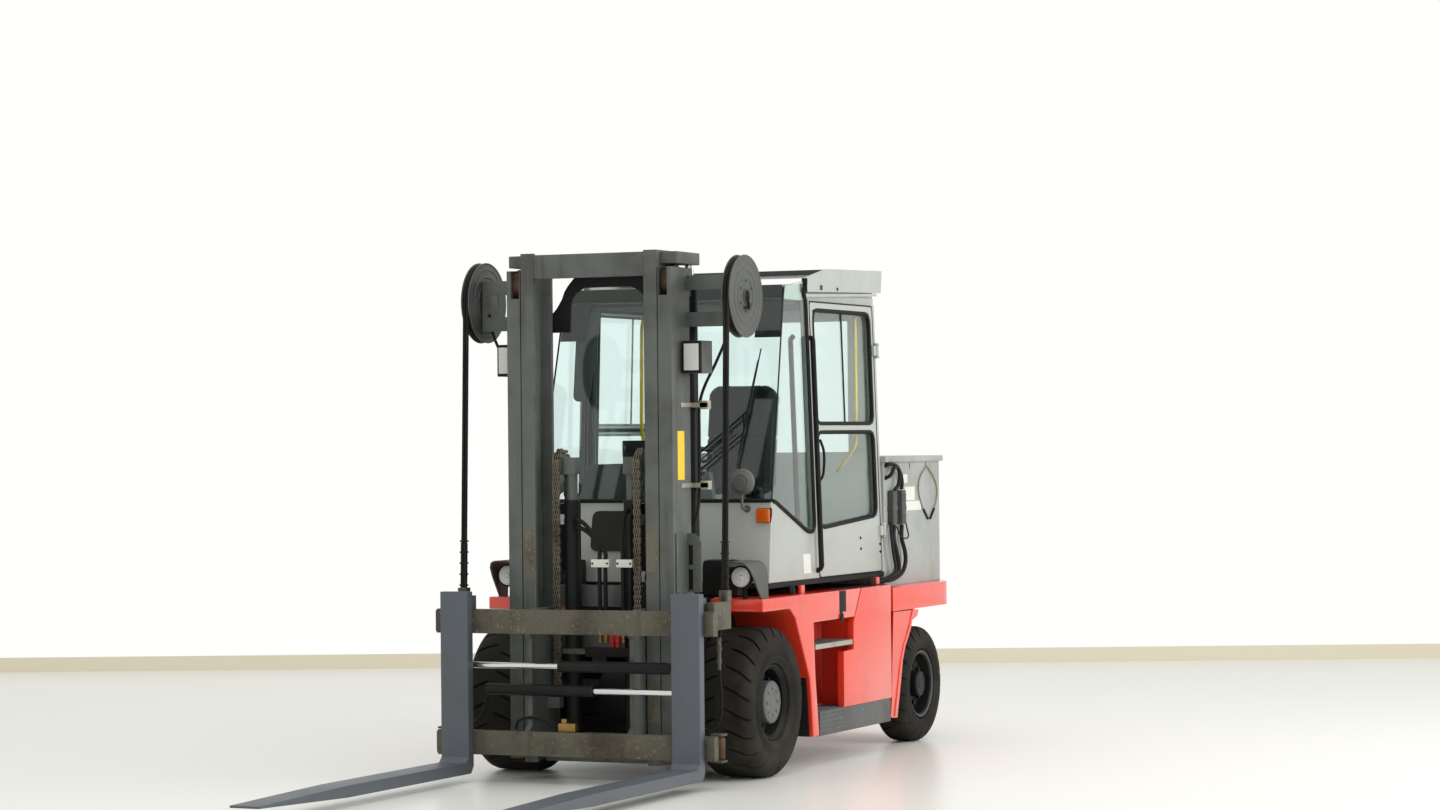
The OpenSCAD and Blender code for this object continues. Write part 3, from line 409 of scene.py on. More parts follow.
def softened(node, width, material):
    """A copy of a CAD node with bevelled edges, which stands for the node."""
    bm = bmesh.new()
    bm.from_mesh(frame["nodes"][node].data)
    bmesh.ops.remove_doubles(bm, verts=bm.verts, dist=2e-6)
    bmesh.ops.dissolve_limit(bm, angle_limit=math.radians(0.6), verts=bm.verts, edges=bm.edges)
    bevel_sharp(bm, width)
    bmesh.ops.triangulate(bm, faces=[f for f in bm.faces if len(f.verts) > 4])
    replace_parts(from_bmesh(node + "_finished", bm, material, body_of_node(node), 40, False), node)


# %% Bevels and paint for the CAD nodes
AHEAD_OF_REAR = 1.5
EDGES = {
    "fenders": (8, RED), "side_panels": (8, RED), "counterweight": (16, RED), "battery_box": (4, BATTERY),
    "cab_cowl": (6, CAB), "cab_sides": (5, CAB), "cab_rear": (5, CAB), "door_left": (6, CAB), "door_right": (6, CAB),
    "roof": (5, CAB), "outer_uprights": (4, MAST), "inner_uprights": (4, MAST), "outer_ties": (3, MAST),
    "inner_ties": (5, MAST), "carriage_bars": (5, BAR), "carriage_plates": (3, MAST), "fork_left": (5, FORK),
    "fork_right": (5, FORK), "frame": (4, BLACK), "steps": (4, STEP), "side_boxes": (4, RED), "mudguards": (3, BLACK),
    "seat_base": (6, TRIM), "crosshead": (3, MAST),
}
for node_name, (width, material) in EDGES.items():
    softened(node_name, width, material)
guards = bpy.data.objects["mudguards_finished"].data
guards.materials.append(RED)
for face in guards.polygons:
    face.material_index = 1 if face.center.y > AHEAD_OF_REAR else 0
print("softened", len(EDGES), "nodes")

# %% Paint for the nodes that keep their own mesh
PLAIN = {
    "cab_floor": BLACK, "cab_mounts": RUBBER, "drive_axle": BLACK, "steer_axle": BLACK, "main_barrels": CYLINDER,
    "main_rods": CHROME, "lift_barrels": CYLINDER, "positioner_barrels": CYLINDER, "fork_left_rod": CHROME,
    "fork_right_rod": CHROME, "tilt_barrels": CYLINDER, "tilt_rods": CHROME, "knuckle_left": BLACK,
    "knuckle_right": BLACK, "cab_glass": GLASS, "door_left_glass": GLASS, "door_right_glass": GLASS,
    "steering_column": PLASTIC, "work_lamps": REEL, "hose_drops": HOSE, "hose_reels": REEL, "chain_tails": CHAIN,
    "chain_fronts": CHAIN, "front_lamps": PLASTIC, "mirrors": PLASTIC, "seat_cushion": TRIM, "seat_back": TRIM,
}
for node_name, material in PLAIN.items():
    mesh = frame["nodes"][node_name].data
    mesh.materials.clear()
    mesh.materials.append(material)
print("painted", len(PLAIN), "nodes")

# %% [markdown]
# ## Solid tyres
# The truck stands on solid rubber tyres whose lugs run in from each shoulder, swept back and staggered left to
# right. A displaced texture would leave the outline smooth, so the tread is real geometry. The trick is to bend the
# mesh's own columns along the sweep: each groove then follows two columns and its walls stay crisp with few faces.

# %% Tyres
LUG_COLUMNS = (0.0, 0.085, 0.115, 0.25, 0.38, 0.47, 0.5, 0.585, 0.615, 0.75, 0.88, 0.97)
OUTER_GROOVE, INNER_GROOVE = (0, 1), (6, 7)
RIM_R, RIDGED_R = 212, 400
BEAD = ((1, 30), (8, 15), (22, 7), (34, 4), (37, 1), (44, 1), (47, 4))
RIDGES = ((56, 4), (58, 1.4), (62, 1.4), (64, 4), (73, 3.6), (75, 1), (79, 1), (81, 3.6))
# Each wheel's middle and radius, and its tread's width, lugs, depth and sweep
WHEELS = {"front": (706, 0, 421), "rear": (724, 2430, 357)}
TREADS = {"front": (350, 22, 17, 0.20), "rear": (230, 20, 14, 0.17)}


def tyre_profile(r, w):
    """Points of a half section as (radius, distance from the outer face, share of the groove's depth)."""
    lower = [(RIM_R + rise, drop, 0) for rise, drop in BEAD + (RIDGES if r > RIDGED_R else ())]
    wall = [(r * 0.72, 2, 0), (r * 0.80, 0.5, 0), (r - 64, 2.5, 0), (r - 52, 5, 0.25), (r - 34, 12, 0.9)]
    shoulder = [(r - 18, 24, 1), (r - 7, 38, 1), (r - 1.5, 54, 1)]
    crown = [(r - 0.5, w * across, share) for across, share in ((0.26, 1), (0.36, 1), (0.43, 0.5), (0.46, 0))]
    return lower + wall + shoulder + crown


def tyre_piece(end, word, side):
    (x, y, r), (w, lugs, depth, sweep_back) = WHEELS[end], TREADS[end]
    half = [(rr, w / 2 - d, s) for rr, d, s in tyre_profile(r, w)]
    section = half + [(rr, -a, s) for rr, a, s in reversed(half)]
    bm = bmesh.new()
    rings = []
    for lug in range(lugs):
        for column, share in enumerate(LUG_COLUMNS):
            ring = []
            for rr, a, s in section:
                cut = column in (OUTER_GROOVE if a > 0 else INNER_GROOVE)
                reach = abs(a) / (w / 2)
                turn = 2 * math.pi * (lug + share) / lugs + sweep_back * reach ** 1.6 * (1 if rr > r * 0.78 else 0.85)
                rad = rr - (depth * s if cut else 0)
                across = a * (1 - 0.045 * s) if cut and reach > 0.7 else a
                ring.append(bm.verts.new(at(side * (x + across), y + rad * math.cos(turn), r + rad * math.sin(turn))))
            rings.append(ring)
    for i, ring in enumerate(rings):
        after = rings[(i + 1) % len(rings)]
        for j in range(len(section)):
            k = (j + 1) % len(section)
            bm.faces.new((ring[j], ring[k], after[k], after[j]))
    piece = from_bmesh(f"tyre_{end}_{word}_treaded", bm, RUBBER, f"wheel_{end}_{word}", 28)
    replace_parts(piece, f"tyre_{end}_{word}")
    return len(piece.data.polygons)


tyre_faces = 0
for side, word in SIDES:
    for end in WHEELS:
        tyre_faces += tyre_piece(end, word, side)
print("four treaded tyres,", tyre_faces, "faces")

# %% [markdown]
# ## Rims, lock rings and wheel nuts
# A rim is a turned shape, so its section is revolved about the axle. The wheel nuts repeat around a circle, which
# is work for Geometry Nodes: one tree takes the count, the circle and the nut's size, and gives plain mesh back.


# %% Turned shapes
def lathe(bm, profile, centre, seg=72, side=1, axis="X", closed=False):
    """Revolves (radius, distance along the axis) points about an axis through a point in metres."""
    rings = []
    for k in range(seg):
        c, s = math.cos(2 * math.pi * k / seg), math.sin(2 * math.pi * k / seg)
        ring = []
        for rr, a in profile:
            rr, a = rr / 1000, side * a / 1000
            off = {"X": (a, rr * c, rr * s), "Y": (rr * c, a, rr * s), "Z": (rr * c, rr * s, a)}[axis]
            ring.append(bm.verts.new(Vector(centre) + Vector(off)))
        rings.append(ring)
    for k in range(seg):
        ring, after = rings[k], rings[(k + 1) % seg]
        for j in range(len(profile) if closed else len(profile) - 1):
            i = (j + 1) % len(profile)
            bm.faces.new((ring[j], ring[i], after[i], after[j]))
    bmesh.ops.remove_doubles(bm, verts=bm.verts, dist=1e-6)


def turned_piece(name, body, material, profile, places, seg, axis="X", smooth=30, closed=False):
    """A piece revolved from one profile at every place, given as (middle, side)."""
    bm = bmesh.new()
    for middle, side in places:
        lathe(bm, profile, middle, seg, side, axis, closed)
    return from_bmesh(name, bm, material, body, smooth)


# %% Trees that grow meshes
def new_tree(name, sockets, on_mesh=False):
    """An empty Geometry Nodes tree: itself, the keys of its inputs and the outputs of its input node."""
    tree = bpy.data.node_groups.new(name, "GeometryNodeTree")
    if on_mesh:
        new_socket(tree, "Geometry", "INPUT", "Geometry")
    keys = {key: new_socket(tree, key, "INPUT", kind, value).identifier for key, kind, value in sockets}
    new_socket(tree, "Geometry", "OUTPUT", "Geometry")
    return tree, keys, add_node(tree, "NodeGroupInput").outputs


def end_tree(tree, grown, finish):
    """Makes the instances plain mesh, sets the material and gives the result out."""
    plain = add_node(tree, "GeometryNodeRealizeInstances", {"Geometry": grown})
    painted = add_node(tree, "GeometryNodeSetMaterial", {"Geometry": plain.outputs["Geometry"], "Material": finish})
    add_node(tree, "NodeGroupOutput", {"Geometry": painted.outputs["Geometry"]})


def grown_mesh(name, tree, sockets, values, base=None):
    """Runs a Geometry Nodes tree on an empty or given mesh and returns the result as a plain mesh."""
    holder = bpy.data.objects.new(name + "_holder", base or bpy.data.meshes.new(name + "_base"))
    bpy.context.scene.collection.objects.link(holder)
    modifier = holder.modifiers.new("grow", "NODES")
    modifier.node_group = tree
    for key, value in values.items():
        modifier[sockets[key]] = value
    holder.update_tag()
    graph = bpy.context.evaluated_depsgraph_get()
    mesh = bpy.data.meshes.new_from_object(holder.evaluated_get(graph))
    mesh.name = name
    holder.modifiers.clear()
    bpy.data.objects.remove(holder)
    return mesh


def build_nut_ring():
    """Geometry Nodes tree: six-sided nuts round a circle about the X axis."""
    tree, keys, taken = new_tree("nut_ring", (
        ("Count", "Int", 8), ("Circle", "Float", 0.1), ("Nut", "Float", 0.012), ("Depth", "Float", 0.014),
        ("Place", "Vector", None), ("Finish", "Material", None)))
    circle = add_node(tree, "GeometryNodeMeshCircle", {"Vertices": taken["Count"], "Radius": taken["Circle"]})
    nut = add_node(tree, "GeometryNodeMeshCylinder", {"Vertices": 6, "Radius": taken["Nut"], "Depth": taken["Depth"]})
    put = add_node(tree, "GeometryNodeInstanceOnPoints", {"Points": circle.outputs["Mesh"],
                                                          "Instance": nut.outputs["Mesh"]})
    turn = add_node(tree, "GeometryNodeTransform", {"Geometry": put.outputs["Instances"], "Translation": taken["Place"],
                                                    "Rotation": (0, math.pi / 2, 0)})
    end_tree(tree, turn.outputs["Geometry"], taken["Finish"])
    return tree, keys


NUT_RING, NUT_SOCKETS = build_nut_ring()


def nuts(name, body, count, circle, nut, depth, place, finish):
    mesh = grown_mesh(name, NUT_RING, NUT_SOCKETS, {"Count": count, "Circle": circle / 1000, "Nut": nut / 1000,
                                                    "Depth": depth / 1000, "Place": tuple(place), "Finish": finish})
    return add_piece(name, mesh, finish, body, 25)


print("a tree for rings of nuts takes", list(NUT_SOCKETS))

# %% Rims
FRONT_RIM = [(0, 60), (95, 60), (104, 62), (108, 70), (166, 70), (174, 66), (182, 54), (183, 100), (186, 128),
             (196, 140), (203, 149), (208, 149), (211.5, 145), (211.5, -150), (182, -150), (182, 40), (0, 40)]
FRONT_CAP = [(0, 149), (40, 149), (42, 147), (50, 147), (52, 149), (96, 149), (98, 146.5), (106, 146.5), (108, 149),
             (114, 148), (119.5, 142), (119.5, 66), (0, 66)]
FRONT_LOCK = [(197, 139), (200, 145), (204, 145), (206, 139)]
REAR_RIM = [(0, 22), (70, 22), (78, 30), (166, 30), (176, 26), (182, 18), (183, 60), (186, 84), (198, 92), (207, 99),
            (211.5, 96), (211.5, -99), (182, -99), (182, 4), (0, 4)]
REAR_CAP = [(0, 95), (30, 95), (34, 92), (62, 92), (66, 95), (74, 93), (79.5, 86), (79.5, 28), (0, 28)]
REAR_LOCK = [(196, 90), (199, 96), (203, 96), (205, 90)]
RIMS = {"front": (FRONT_RIM, FRONT_CAP, HUB, FRONT_LOCK), "rear": (REAR_RIM, REAR_CAP, RIM, REAR_LOCK)}
for side, word in SIDES:
    for end, (rim, cap, cap_finish, lock) in RIMS.items():
        x, y, r = WHEELS[end]
        body, place = f"wheel_{end}_{word}", [(at(side * x, y, r), side)]
        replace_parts(turned_piece(f"rim_{end}_{word}_turned", body, RIM, rim, place, 80), f"rim_{end}_{word}")
        turned_piece(f"hub_cap_{end}_{word}", body, cap_finish, cap, place, 64)
        turned_piece(f"lock_ring_{end}_{word}", body, HUB, lock, place, 80, closed=True)
        if end == "front":
            nuts(f"wheel_nuts_{end}_{word}", body, 10, 148, 14, 24, at(side * (x + 80), y, r), RIM)
            nuts(f"hub_bolts_{end}_{word}", body, 8, 74, 9, 8, at(side * (x + 149), y, r), HUB)
        else:
            nuts(f"wheel_nuts_{end}_{word}", body, 8, 118, 13, 24, at(side * (x + 40), y, r), RIM)
print("rims, caps and nuts are on")

# %% [markdown]
# ## Lift chains
# The two leaf chains over the sheaves are stacks of thin plates on pins. Each is grown along its path by a second
# tree that resamples the path at the chain's pitch, turns a small link to the path and sets the steel. The front
# runs shorten as the carriage rises; here both runs ride the lift head, the front ones with a mesh of their own.

# %% Chains
CHAIN_PITCH, CHAIN_WIDTH, PLATE_HALF, PLATE_DEEP, PLATE_OVER, PIN_R = 0.0255, 0.043, 0.0021, 0.011, 0.008, 0.0045


def link_mesh(pitch, width):
    """Two pitches of leaf chain, drawn up from the origin: four outer plates, three inner plates and two pins."""
    bm = bmesh.new()
    reach = pitch / 2 + PLATE_OVER
    turns = [2 * math.pi * k / 12 for k in range(12)]

    def plate(x, middle):
        outline = [(PLATE_DEEP * math.cos(t), reach * math.sin(t) ** 3 * 0.35 + reach * math.sin(t) * 0.65 + middle)
                   for t in turns]
        prism(bm, [(x - PLATE_HALF, y, z) for y, z in outline], [(x + PLATE_HALF, y, z) for y, z in outline])

    half = width / 2
    for x in (-half + 0.003, -half * 0.33, half * 0.33, half - 0.003):
        plate(x, pitch * 0.5)
    for x in (-half * 0.62, 0, half * 0.62):
        plate(x, pitch * 1.5)
    for z in (0, pitch):
        bmesh.ops.create_cone(bm, cap_ends=True, segments=8, radius1=PIN_R, radius2=PIN_R, depth=width,
                              matrix=Matrix.Translation((0, 0, z)) @ Matrix.Rotation(math.pi / 2, 4, "Y"))
    bmesh.ops.recalc_face_normals(bm, faces=bm.faces)
    mesh = bpy.data.meshes.new("chain_link")
    bm.to_mesh(mesh)
    bm.free()
    return mesh


def build_linked_path():
    """Geometry Nodes tree: a link on every step of the base mesh's path, turned along it."""
    tree, keys, taken = new_tree("linked_path", (("Step", "Float", None), ("Link", "Object", None),
                                                 ("Finish", "Material", None)), True)
    line = add_node(tree, "GeometryNodeMeshToCurve", {"Mesh": taken["Geometry"]})
    steps = add_node(tree, "GeometryNodeCurveToPoints", {"Curve": line.outputs["Curve"], "Length": taken["Step"]},
                     mode="LENGTH")
    link = add_node(tree, "GeometryNodeObjectInfo", {"Object": taken["Link"]})
    turn = add_node(tree, "FunctionNodeAlignRotationToVector", {"Vector": steps.outputs["Tangent"]}, axis="Z",
                    pivot_axis="X")
    put = add_node(tree, "GeometryNodeInstanceOnPoints", {
        "Points": steps.outputs["Points"], "Instance": link.outputs["Geometry"], "Rotation": turn.outputs["Rotation"]})
    end_tree(tree, put.outputs["Instances"], taken["Finish"])
    return tree, keys


LINKED_PATH, LINKED_SOCKETS = build_linked_path()
link_object = bpy.data.objects.new("chain_link", link_mesh(CHAIN_PITCH, CHAIN_WIDTH))
bpy.context.scene.collection.objects.link(link_object)
CHAIN_X, LIFT_Y, SHEAVE_Z, STRAND = 250, -400, 1760, 70


def chains(name, line, node):
    """Links along one line of (y, z) points on both sides, in place of a CAD node."""
    base = bpy.data.meshes.new(name + "_path")
    points = [tuple(at(side * CHAIN_X, y, z)) for side, word in SIDES for y, z in line]
    edges = [(k, k + 1) for k in range(len(points) - 1) if k != len(line) - 1]
    base.from_pydata(points, edges, [])
    mesh = grown_mesh(name, LINKED_PATH, LINKED_SOCKETS,
                      {"Step": 2 * CHAIN_PITCH, "Link": link_object, "Finish": CHAIN}, base)
    piece = add_piece(name, mesh, CHAIN, "lift_head", 30)
    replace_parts(piece, node)
    return piece


front_chain = chains("front_chains", [(LIFT_Y - STRAND, 475), (LIFT_Y - STRAND, 1746)], "chain_fronts")
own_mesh(front_chain)
over = [(LIFT_Y - STRAND * math.cos(t), SHEAVE_Z + STRAND * math.sin(t)) for t in [math.pi * k / 16 for k in range(17)]]
tail_chain = chains("tail_chains", over + [(LIFT_Y + STRAND, 768)], "chain_tails")
bpy.data.objects.remove(link_object)
print("chains:", len(front_chain.data.polygons) + len(tail_chain.data.polygons), "faces")

# %% [markdown]
# ## Hose reels and hoses
# Each side of the mast carries a spring reel that keeps a pair of hydraulic hoses tight while the carriage rises.
# The reel is turned from pressed sheet with ring-shaped ribs, so it is revolved again. The hoses are tubes swept
# along a path: frames are carried along the path without twist, and corners are rounded before sweeping.


# %% Tubes along a path
def rounded(points, radius, steps=6, closed=False):
    """Rounds the corners of a path of points in metres, with a bend that starts a radius in millimetres away."""
    pts = [Vector(p) for p in points]
    out = []
    count = len(pts)
    for i, p in enumerate(pts):
        if not closed and i in (0, count - 1):
            out.append(p)
            continue
        a, b = pts[i - 1] - p, pts[(i + 1) % count] - p
        reach = min(radius / 1000, a.length * 0.48, b.length * 0.48)
        start, end = p + a.normalized() * reach, p + b.normalized() * reach
        for k in range(steps + 1):
            t = k / steps
            out.append(start * (1 - t) ** 2 + p * 2 * t * (1 - t) + end * t ** 2)
    return out


def sweep(bm, points, r, seg=12, closed=False, flat=1.0):
    """A tube of radius r millimetres along points in metres, with capped ends unless closed."""
    pts = [Vector(p) for p in points]
    count = len(pts)
    tangents = []
    for i in range(count):
        before = pts[i - 1] if closed or i else pts[i]
        after = pts[(i + 1) % count] if closed or i < count - 1 else pts[i]
        tangents.append((after - before).normalized())
    normal = tangents[0].orthogonal().normalized()
    rings = []
    for i, p in enumerate(pts):
        normal = (normal - tangents[i] * normal.dot(tangents[i])).normalized()
        other = tangents[i].cross(normal)
        rings.append([bm.verts.new(p + (normal * math.cos(2 * math.pi * k / seg) * flat
                                        + other * math.sin(2 * math.pi * k / seg)) * r / 1000) for k in range(seg)])
    for i in range(count if closed else count - 1):
        ring, after = rings[i], rings[(i + 1) % count]
        shift = 0
        if closed and i == count - 1:
            shift = min(range(seg), key=lambda s: (after[s].co - ring[0].co).length)
        for k in range(seg):
            j = (k + 1) % seg
            bm.faces.new((ring[k], ring[j], after[(j + shift) % seg], after[(k + shift) % seg]))
    if not closed:
        bm.faces.new(list(reversed(rings[0])))
        bm.faces.new(rings[-1])


def smooth_path(points, steps=8):
    """A Catmull-Rom line through points in metres."""
    p = [Vector(q) for q in points]
    p = [p[0] * 2 - p[1]] + p + [p[-1] * 2 - p[-2]]
    out = []
    for i in range(1, len(p) - 2):
        for k in range(steps):
            t = k / steps
            out.append(0.5 * (2 * p[i] + (p[i + 1] - p[i - 1]) * t
                              + (2 * p[i - 1] - 5 * p[i] + 4 * p[i + 1] - p[i + 2]) * t ** 2
                              + (3 * p[i] - p[i - 1] - 3 * p[i + 1] + p[i + 2]) * t ** 3))
    out.append(p[-2])
    return out


def tube_piece(name, body, runs, r, material, seg=12, smooth=50, closed=False):
    bm = bmesh.new()
    for run in runs:
        sweep(bm, run, r, seg, closed)
    return from_bmesh(name, bm, material, body, smooth)


def add_box(bm, x0, x1, y0, y1, z0, z1):
    """A block between two corners in millimetres from the front axle."""
    bmesh.ops.create_cube(bm, size=1, matrix=Matrix.Translation(at((x0 + x1) / 2, (y0 + y1) / 2, (z0 + z1) / 2))
                          @ Matrix.Diagonal(((x1 - x0) / 1000, (y1 - y0) / 1000, (z1 - z0) / 1000, 1)))


def box_piece(name, body, boxes, material, bevel=2.0):
    bm = bmesh.new()
    for b in boxes:
        add_box(bm, *b)
    if bevel:
        bevel_sharp(bm, bevel)
    return from_bmesh(name, bm, material, body, 40)


def both_ways(boxes):
    return list(boxes) + [(-x1, -x0, y0, y1, z0, z1) for x0, x1, y0, y1, z0, z1 in boxes]


# %% Reels
REEL_X, REEL_Y, REEL_Z, WOUND_R = 781, -264, 2685, 213
HOSE_X, HOSE_PAIR = 807, (-9.5, 9.5)
HOSE_XS = [side * (HOSE_X + offset) for side, word in SIDES for offset in HOSE_PAIR]
REEL_FACE = [(40.5, 6), (62, 6), (66, 3), (96, 3), (100, 7), (108, 7), (112, 3.5), (142, 3.5), (146, 7), (154, 7),
             (158, 3.5), (186, 3.5), (190, 6.5), (196, 6.5), (200, 4), (218, 4), (223, 7.5), (228, 7.5), (230, 4.5),
             (229, 1), (222, 0), (40.5, 0)]
REEL_DRUM = [(40.5, 7), (203, 7), (203, 45), (40.5, 45)]
SWIVEL = [(0, 66), (14, 66), (16, 63), (30, 63), (36, 60), (39, 52.5), (0, 52.5)]
SWIVEL_PIPE = ((843, 0, 22), (846, -4, -30), (842, 18, -62), (836, 20, -74))
for side, word in SIDES:
    middle = at(side * REEL_X, REEL_Y, REEL_Z)
    bm = bmesh.new()
    lathe(bm, [(r, 44.5 + a) for r, a in REEL_FACE], middle, 96, side, closed=True)
    lathe(bm, [(r, 7.5 - a) for r, a in reversed(REEL_FACE)], middle, 96, side, closed=True)
    lathe(bm, REEL_DRUM, middle, 72, side, closed=True)
    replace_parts(from_bmesh("hose_reel_" + word, bm, REEL, "mast_outer", 30), "hose_reels")
    wound = [[at(side * (HOSE_X + offset), REEL_Y + WOUND_R * math.cos(t), REEL_Z + WOUND_R * math.sin(t))
              for t in [2 * math.pi * k / 72 for k in range(72)]] for offset in HOSE_PAIR]
    tube_piece("wound_hose_" + word, "mast_outer", wound, 8.6, HOSE, 10, 60, True)
    bm = bmesh.new()
    lathe(bm, SWIVEL, middle, 40, side)
    spring = [at(side * (REEL_X + 56), REEL_Y - 6 + 20 * math.sin(9 * t), REEL_Z - 44 - 22 * math.cos(t * 2) - 20 * t)
              for t in [k / 60 for k in range(61)]]
    sweep(bm, spring, 4.5, 8)
    sweep(bm, rounded([at(side * x, REEL_Y + y, REEL_Z + z) for x, y, z in SWIVEL_PIPE], 22), 8, 12)
    from_bmesh("reel_swivel_" + word, bm, DARK_HUB, "mast_outer", 40)
    nuts("reel_screws_" + word, "mast_outer", 6, 84, 6, 6, at(side * 836.5, REEL_Y, REEL_Z), REEL)
print("two hose reels")

# %% Hoses from the reels to the carriage
HOSE_TOP, HOSE_END, SLEEVE_SLOPE = (-478.5, 2685), (-535, 1071), 0.035


def hose_runs(start, end):
    """All four hoses, straight between two (y, z) places, in forty steps."""
    (y, z), (end_y, end_z) = start, end
    return [[at(x, y + (end_y - y) * k / 40, z + (end_z - z) * k / 40) for k in range(41)] for x in HOSE_XS]


def sleeve_y(z):
    return HOSE_END[0] + (z - HOSE_END[1]) * SLEEVE_SLOPE


drops = tube_piece("reel_hoses", "mast_inner", hose_runs(HOSE_TOP, HOSE_END), 9, HOSE, 14, 60)
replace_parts(drops, "hose_drops")
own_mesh(drops)
# The inner mast draws more hose from the reel as it rises, so a short length is added at the top of each run, baked in
# place on no body.
drawn = tube_piece("drawn_hoses", None, hose_runs((HOSE_TOP[0] - 3, HOSE_TOP[1] - 86), HOSE_TOP), 8.5, HOSE, 14, 60)
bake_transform(drawn)
box_piece("barrel_plates", "mast_inner", both_ways([(200, 266, -420, -380, 1165, 1425)]), CYLINDER, 6)
sleeves = [[at(x, sleeve_y(z), z) for z in (1071, 1200, 1322)] for x in HOSE_XS]
tube_piece("hose_sleeves", "carriage", sleeves, 11.5, PLASTIC, 14, 60)
bands = both_ways([(785, 829, sleeve_y(z) - 14, sleeve_y(z) + 14, z, z + 9) for z in range(1080, 1330, 62)])
box_piece("sleeve_bands", "carriage", bands, DARK_HUB, 1.5)
print("four hoses with", len(bands), "bands on their sleeves")

# %% [markdown]
# The hoses below are free lengths of hydraulic hose. Each one's facts come first: where it leaves the object, its
# diameter and where it ends. Its length is what the photograph shows from end to end.

# %% Free hoses on the mast and the carriage
REEL_FEED = ((753, -300, 2620), (748, -292, 2560), (720, -284, 2460), (650, -274, 2320), (575, -264, 2190),
             (541, -260, 2086), (539, -262, 1940), (539, -264, 1780), (539, -266, 1640), (536, -272, 1530),
             (522, -286, 1450), (496, -293, 1400), (462, -295, 1384))
POSITIONER_HOSE = ((807, -548, 1012), (808, -566, 960), (806, -596, 860), (803, -612, 740), (806, -610, 600),
                   (812, -604, 470), (800, -606, 366), (752, -618, 318), (690, -640, 322), (630, -662, 372),
                   (590, -684, 450), (566, -706, 505))


def free_hose(name, body, points, diameter, material, side=1):
    """A tube swept through points in millimetres, which rides one body."""
    line = smooth_path([at(side * x, y, z) for x, y, z in points])
    piece = tube_piece(name, body, [line], diameter / 2, material, 12)


for side, word in SIDES:
    free_hose("reel_feed_" + word, "mast_outer", REEL_FEED, 17, HOSE, side=side)
    free_hose("positioner_hose_" + word, "carriage", POSITIONER_HOSE, 15, HOSE, side=side)
clips = []
for z in (2086, 1640):
    clips += [(508, 602, -293, -284, z - 14, z + 14), (556, 602, -293, -240, z - 24, z + 24),
              (508, 512, -440, -284, z - 12, z + 12), (524, 557, -248, -236, z - 22, z + 22)]
box_piece("hose_clips", "mast_outer", both_ways(clips), ZINC, 1.0)
coils = [[at(side * HOSE_X + 12 * math.cos(t), -556 - (1012 - z) * 0.18 + 12 * math.sin(t), z + 4 * t / math.pi)
          for t in [2 * math.pi * j / 12 for j in range(12)]] for side, word in SIDES for z in range(905, 1060, 8)]
tube_piece("hose_spring_guards", "carriage", coils, 2.4, RUST, 6, 50, True)
print("four free hoses,", len(clips), "clip plates a side and", len(coils), "guard coils")

# %% Hoses and fittings between the uprights
MAST_HOSES = ((16, -150, 1445), (52, -146, 1400), (160, 190, 1500), (204, 208, 1470))
BOLT = [(0, 6), (5, 6), (6, 3), (6, 0), (0, 0)]
FERRULE = [(0, 60), (12, 60), (12, 46), (15, 44), (15, 26), (12, 24), (12, 0), (0, 0)]
CAP = [(0, 78), (14, 78), (18, 70), (18, 30), (14, 24), (14, 0), (0, 0)]
FITTING = [(0, 176), (9, 176), (12, 172), (12, 128), (15, 126), (15, 104), (11, 102), (11, 62), (14, 60), (14, 36),
           (10, 34), (10, 0), (0, 0)]
for number, (x, start, z) in enumerate(MAST_HOSES):
    free_hose(f"mast_hose_{number}", "mast_inner", (
        (start, -452, z), (start + (x - start) * 0.25, -474, z + 6), (start + (x - start) * 0.62, -478, z - 40),
        (x, -476, z - 130), (x, -474, 1216), (x, -472, 1080), (x, -470, 940), (x, -468, 820)), 24, HOSE)
box_piece("hose_clamps", "mast_inner", [(-28, 82, -492, -456, 1188, 1232), (128, 224, -492, -456, 1188, 1232)],
          PALE_PLATE, 3)
bolts = [(at(x, -492, 1210), -1) for x in (-18, 72, 137, 215)]
turned_piece("clamp_bolts", "mast_inner", DARK_HUB, BOLT, bolts, 6, "Y")
ferrules = [(at(x, -468, 770), 1) for x, start, z in MAST_HOSES]
turned_piece("hose_ferrules", "mast_inner", BRASS, FERRULE, ferrules, 14, "Z")
turned_piece("red_caps", "mast_inner", RED_CAP, CAP, [(at(x, -462, 740), 1) for x in (88, 122)], 16, "Z")
box_piece("valve_block", "mast_inner", [(-70, 236, -492, -440, 690, 742), (-30, 60, -486, -450, 660, 692)], DARK_HUB, 3)
box_piece("valve_carrier", "mast_inner", [(-232, 232, -446, -436, 700, 730)], MAST, 2)
box_piece("brass_valve", "carriage", [(-110, -6, -752, -706, 292, 338), (-92, -62, -748, -712, 338, 362)], BRASS, 3)
free_hose("valve_hose", "carriage", (
    (-104, -730, 318), (-150, -730, 322), (-230, -722, 352), (-310, -712, 362), (-372, -706, 346), (-392, -704, 322),
    (-392, -708, 294)), 16, HOSE)
turned_piece("positioner_fittings", "carriage", BAR, FITTING, [(at(side * 803, -612, 640), 1) for side, word in SIDES],
             12, "Z")
print("hoses, clamps and fittings")

# %% [markdown]
# ## Cab seals, rails and trim
# The cab's panes sit in black rubber. A seal is a tube that follows the edge of its window, and the cab's sides lean
# inwards, so its points are given in the leaning frame of a side and turned into the truck's frame by one helper.

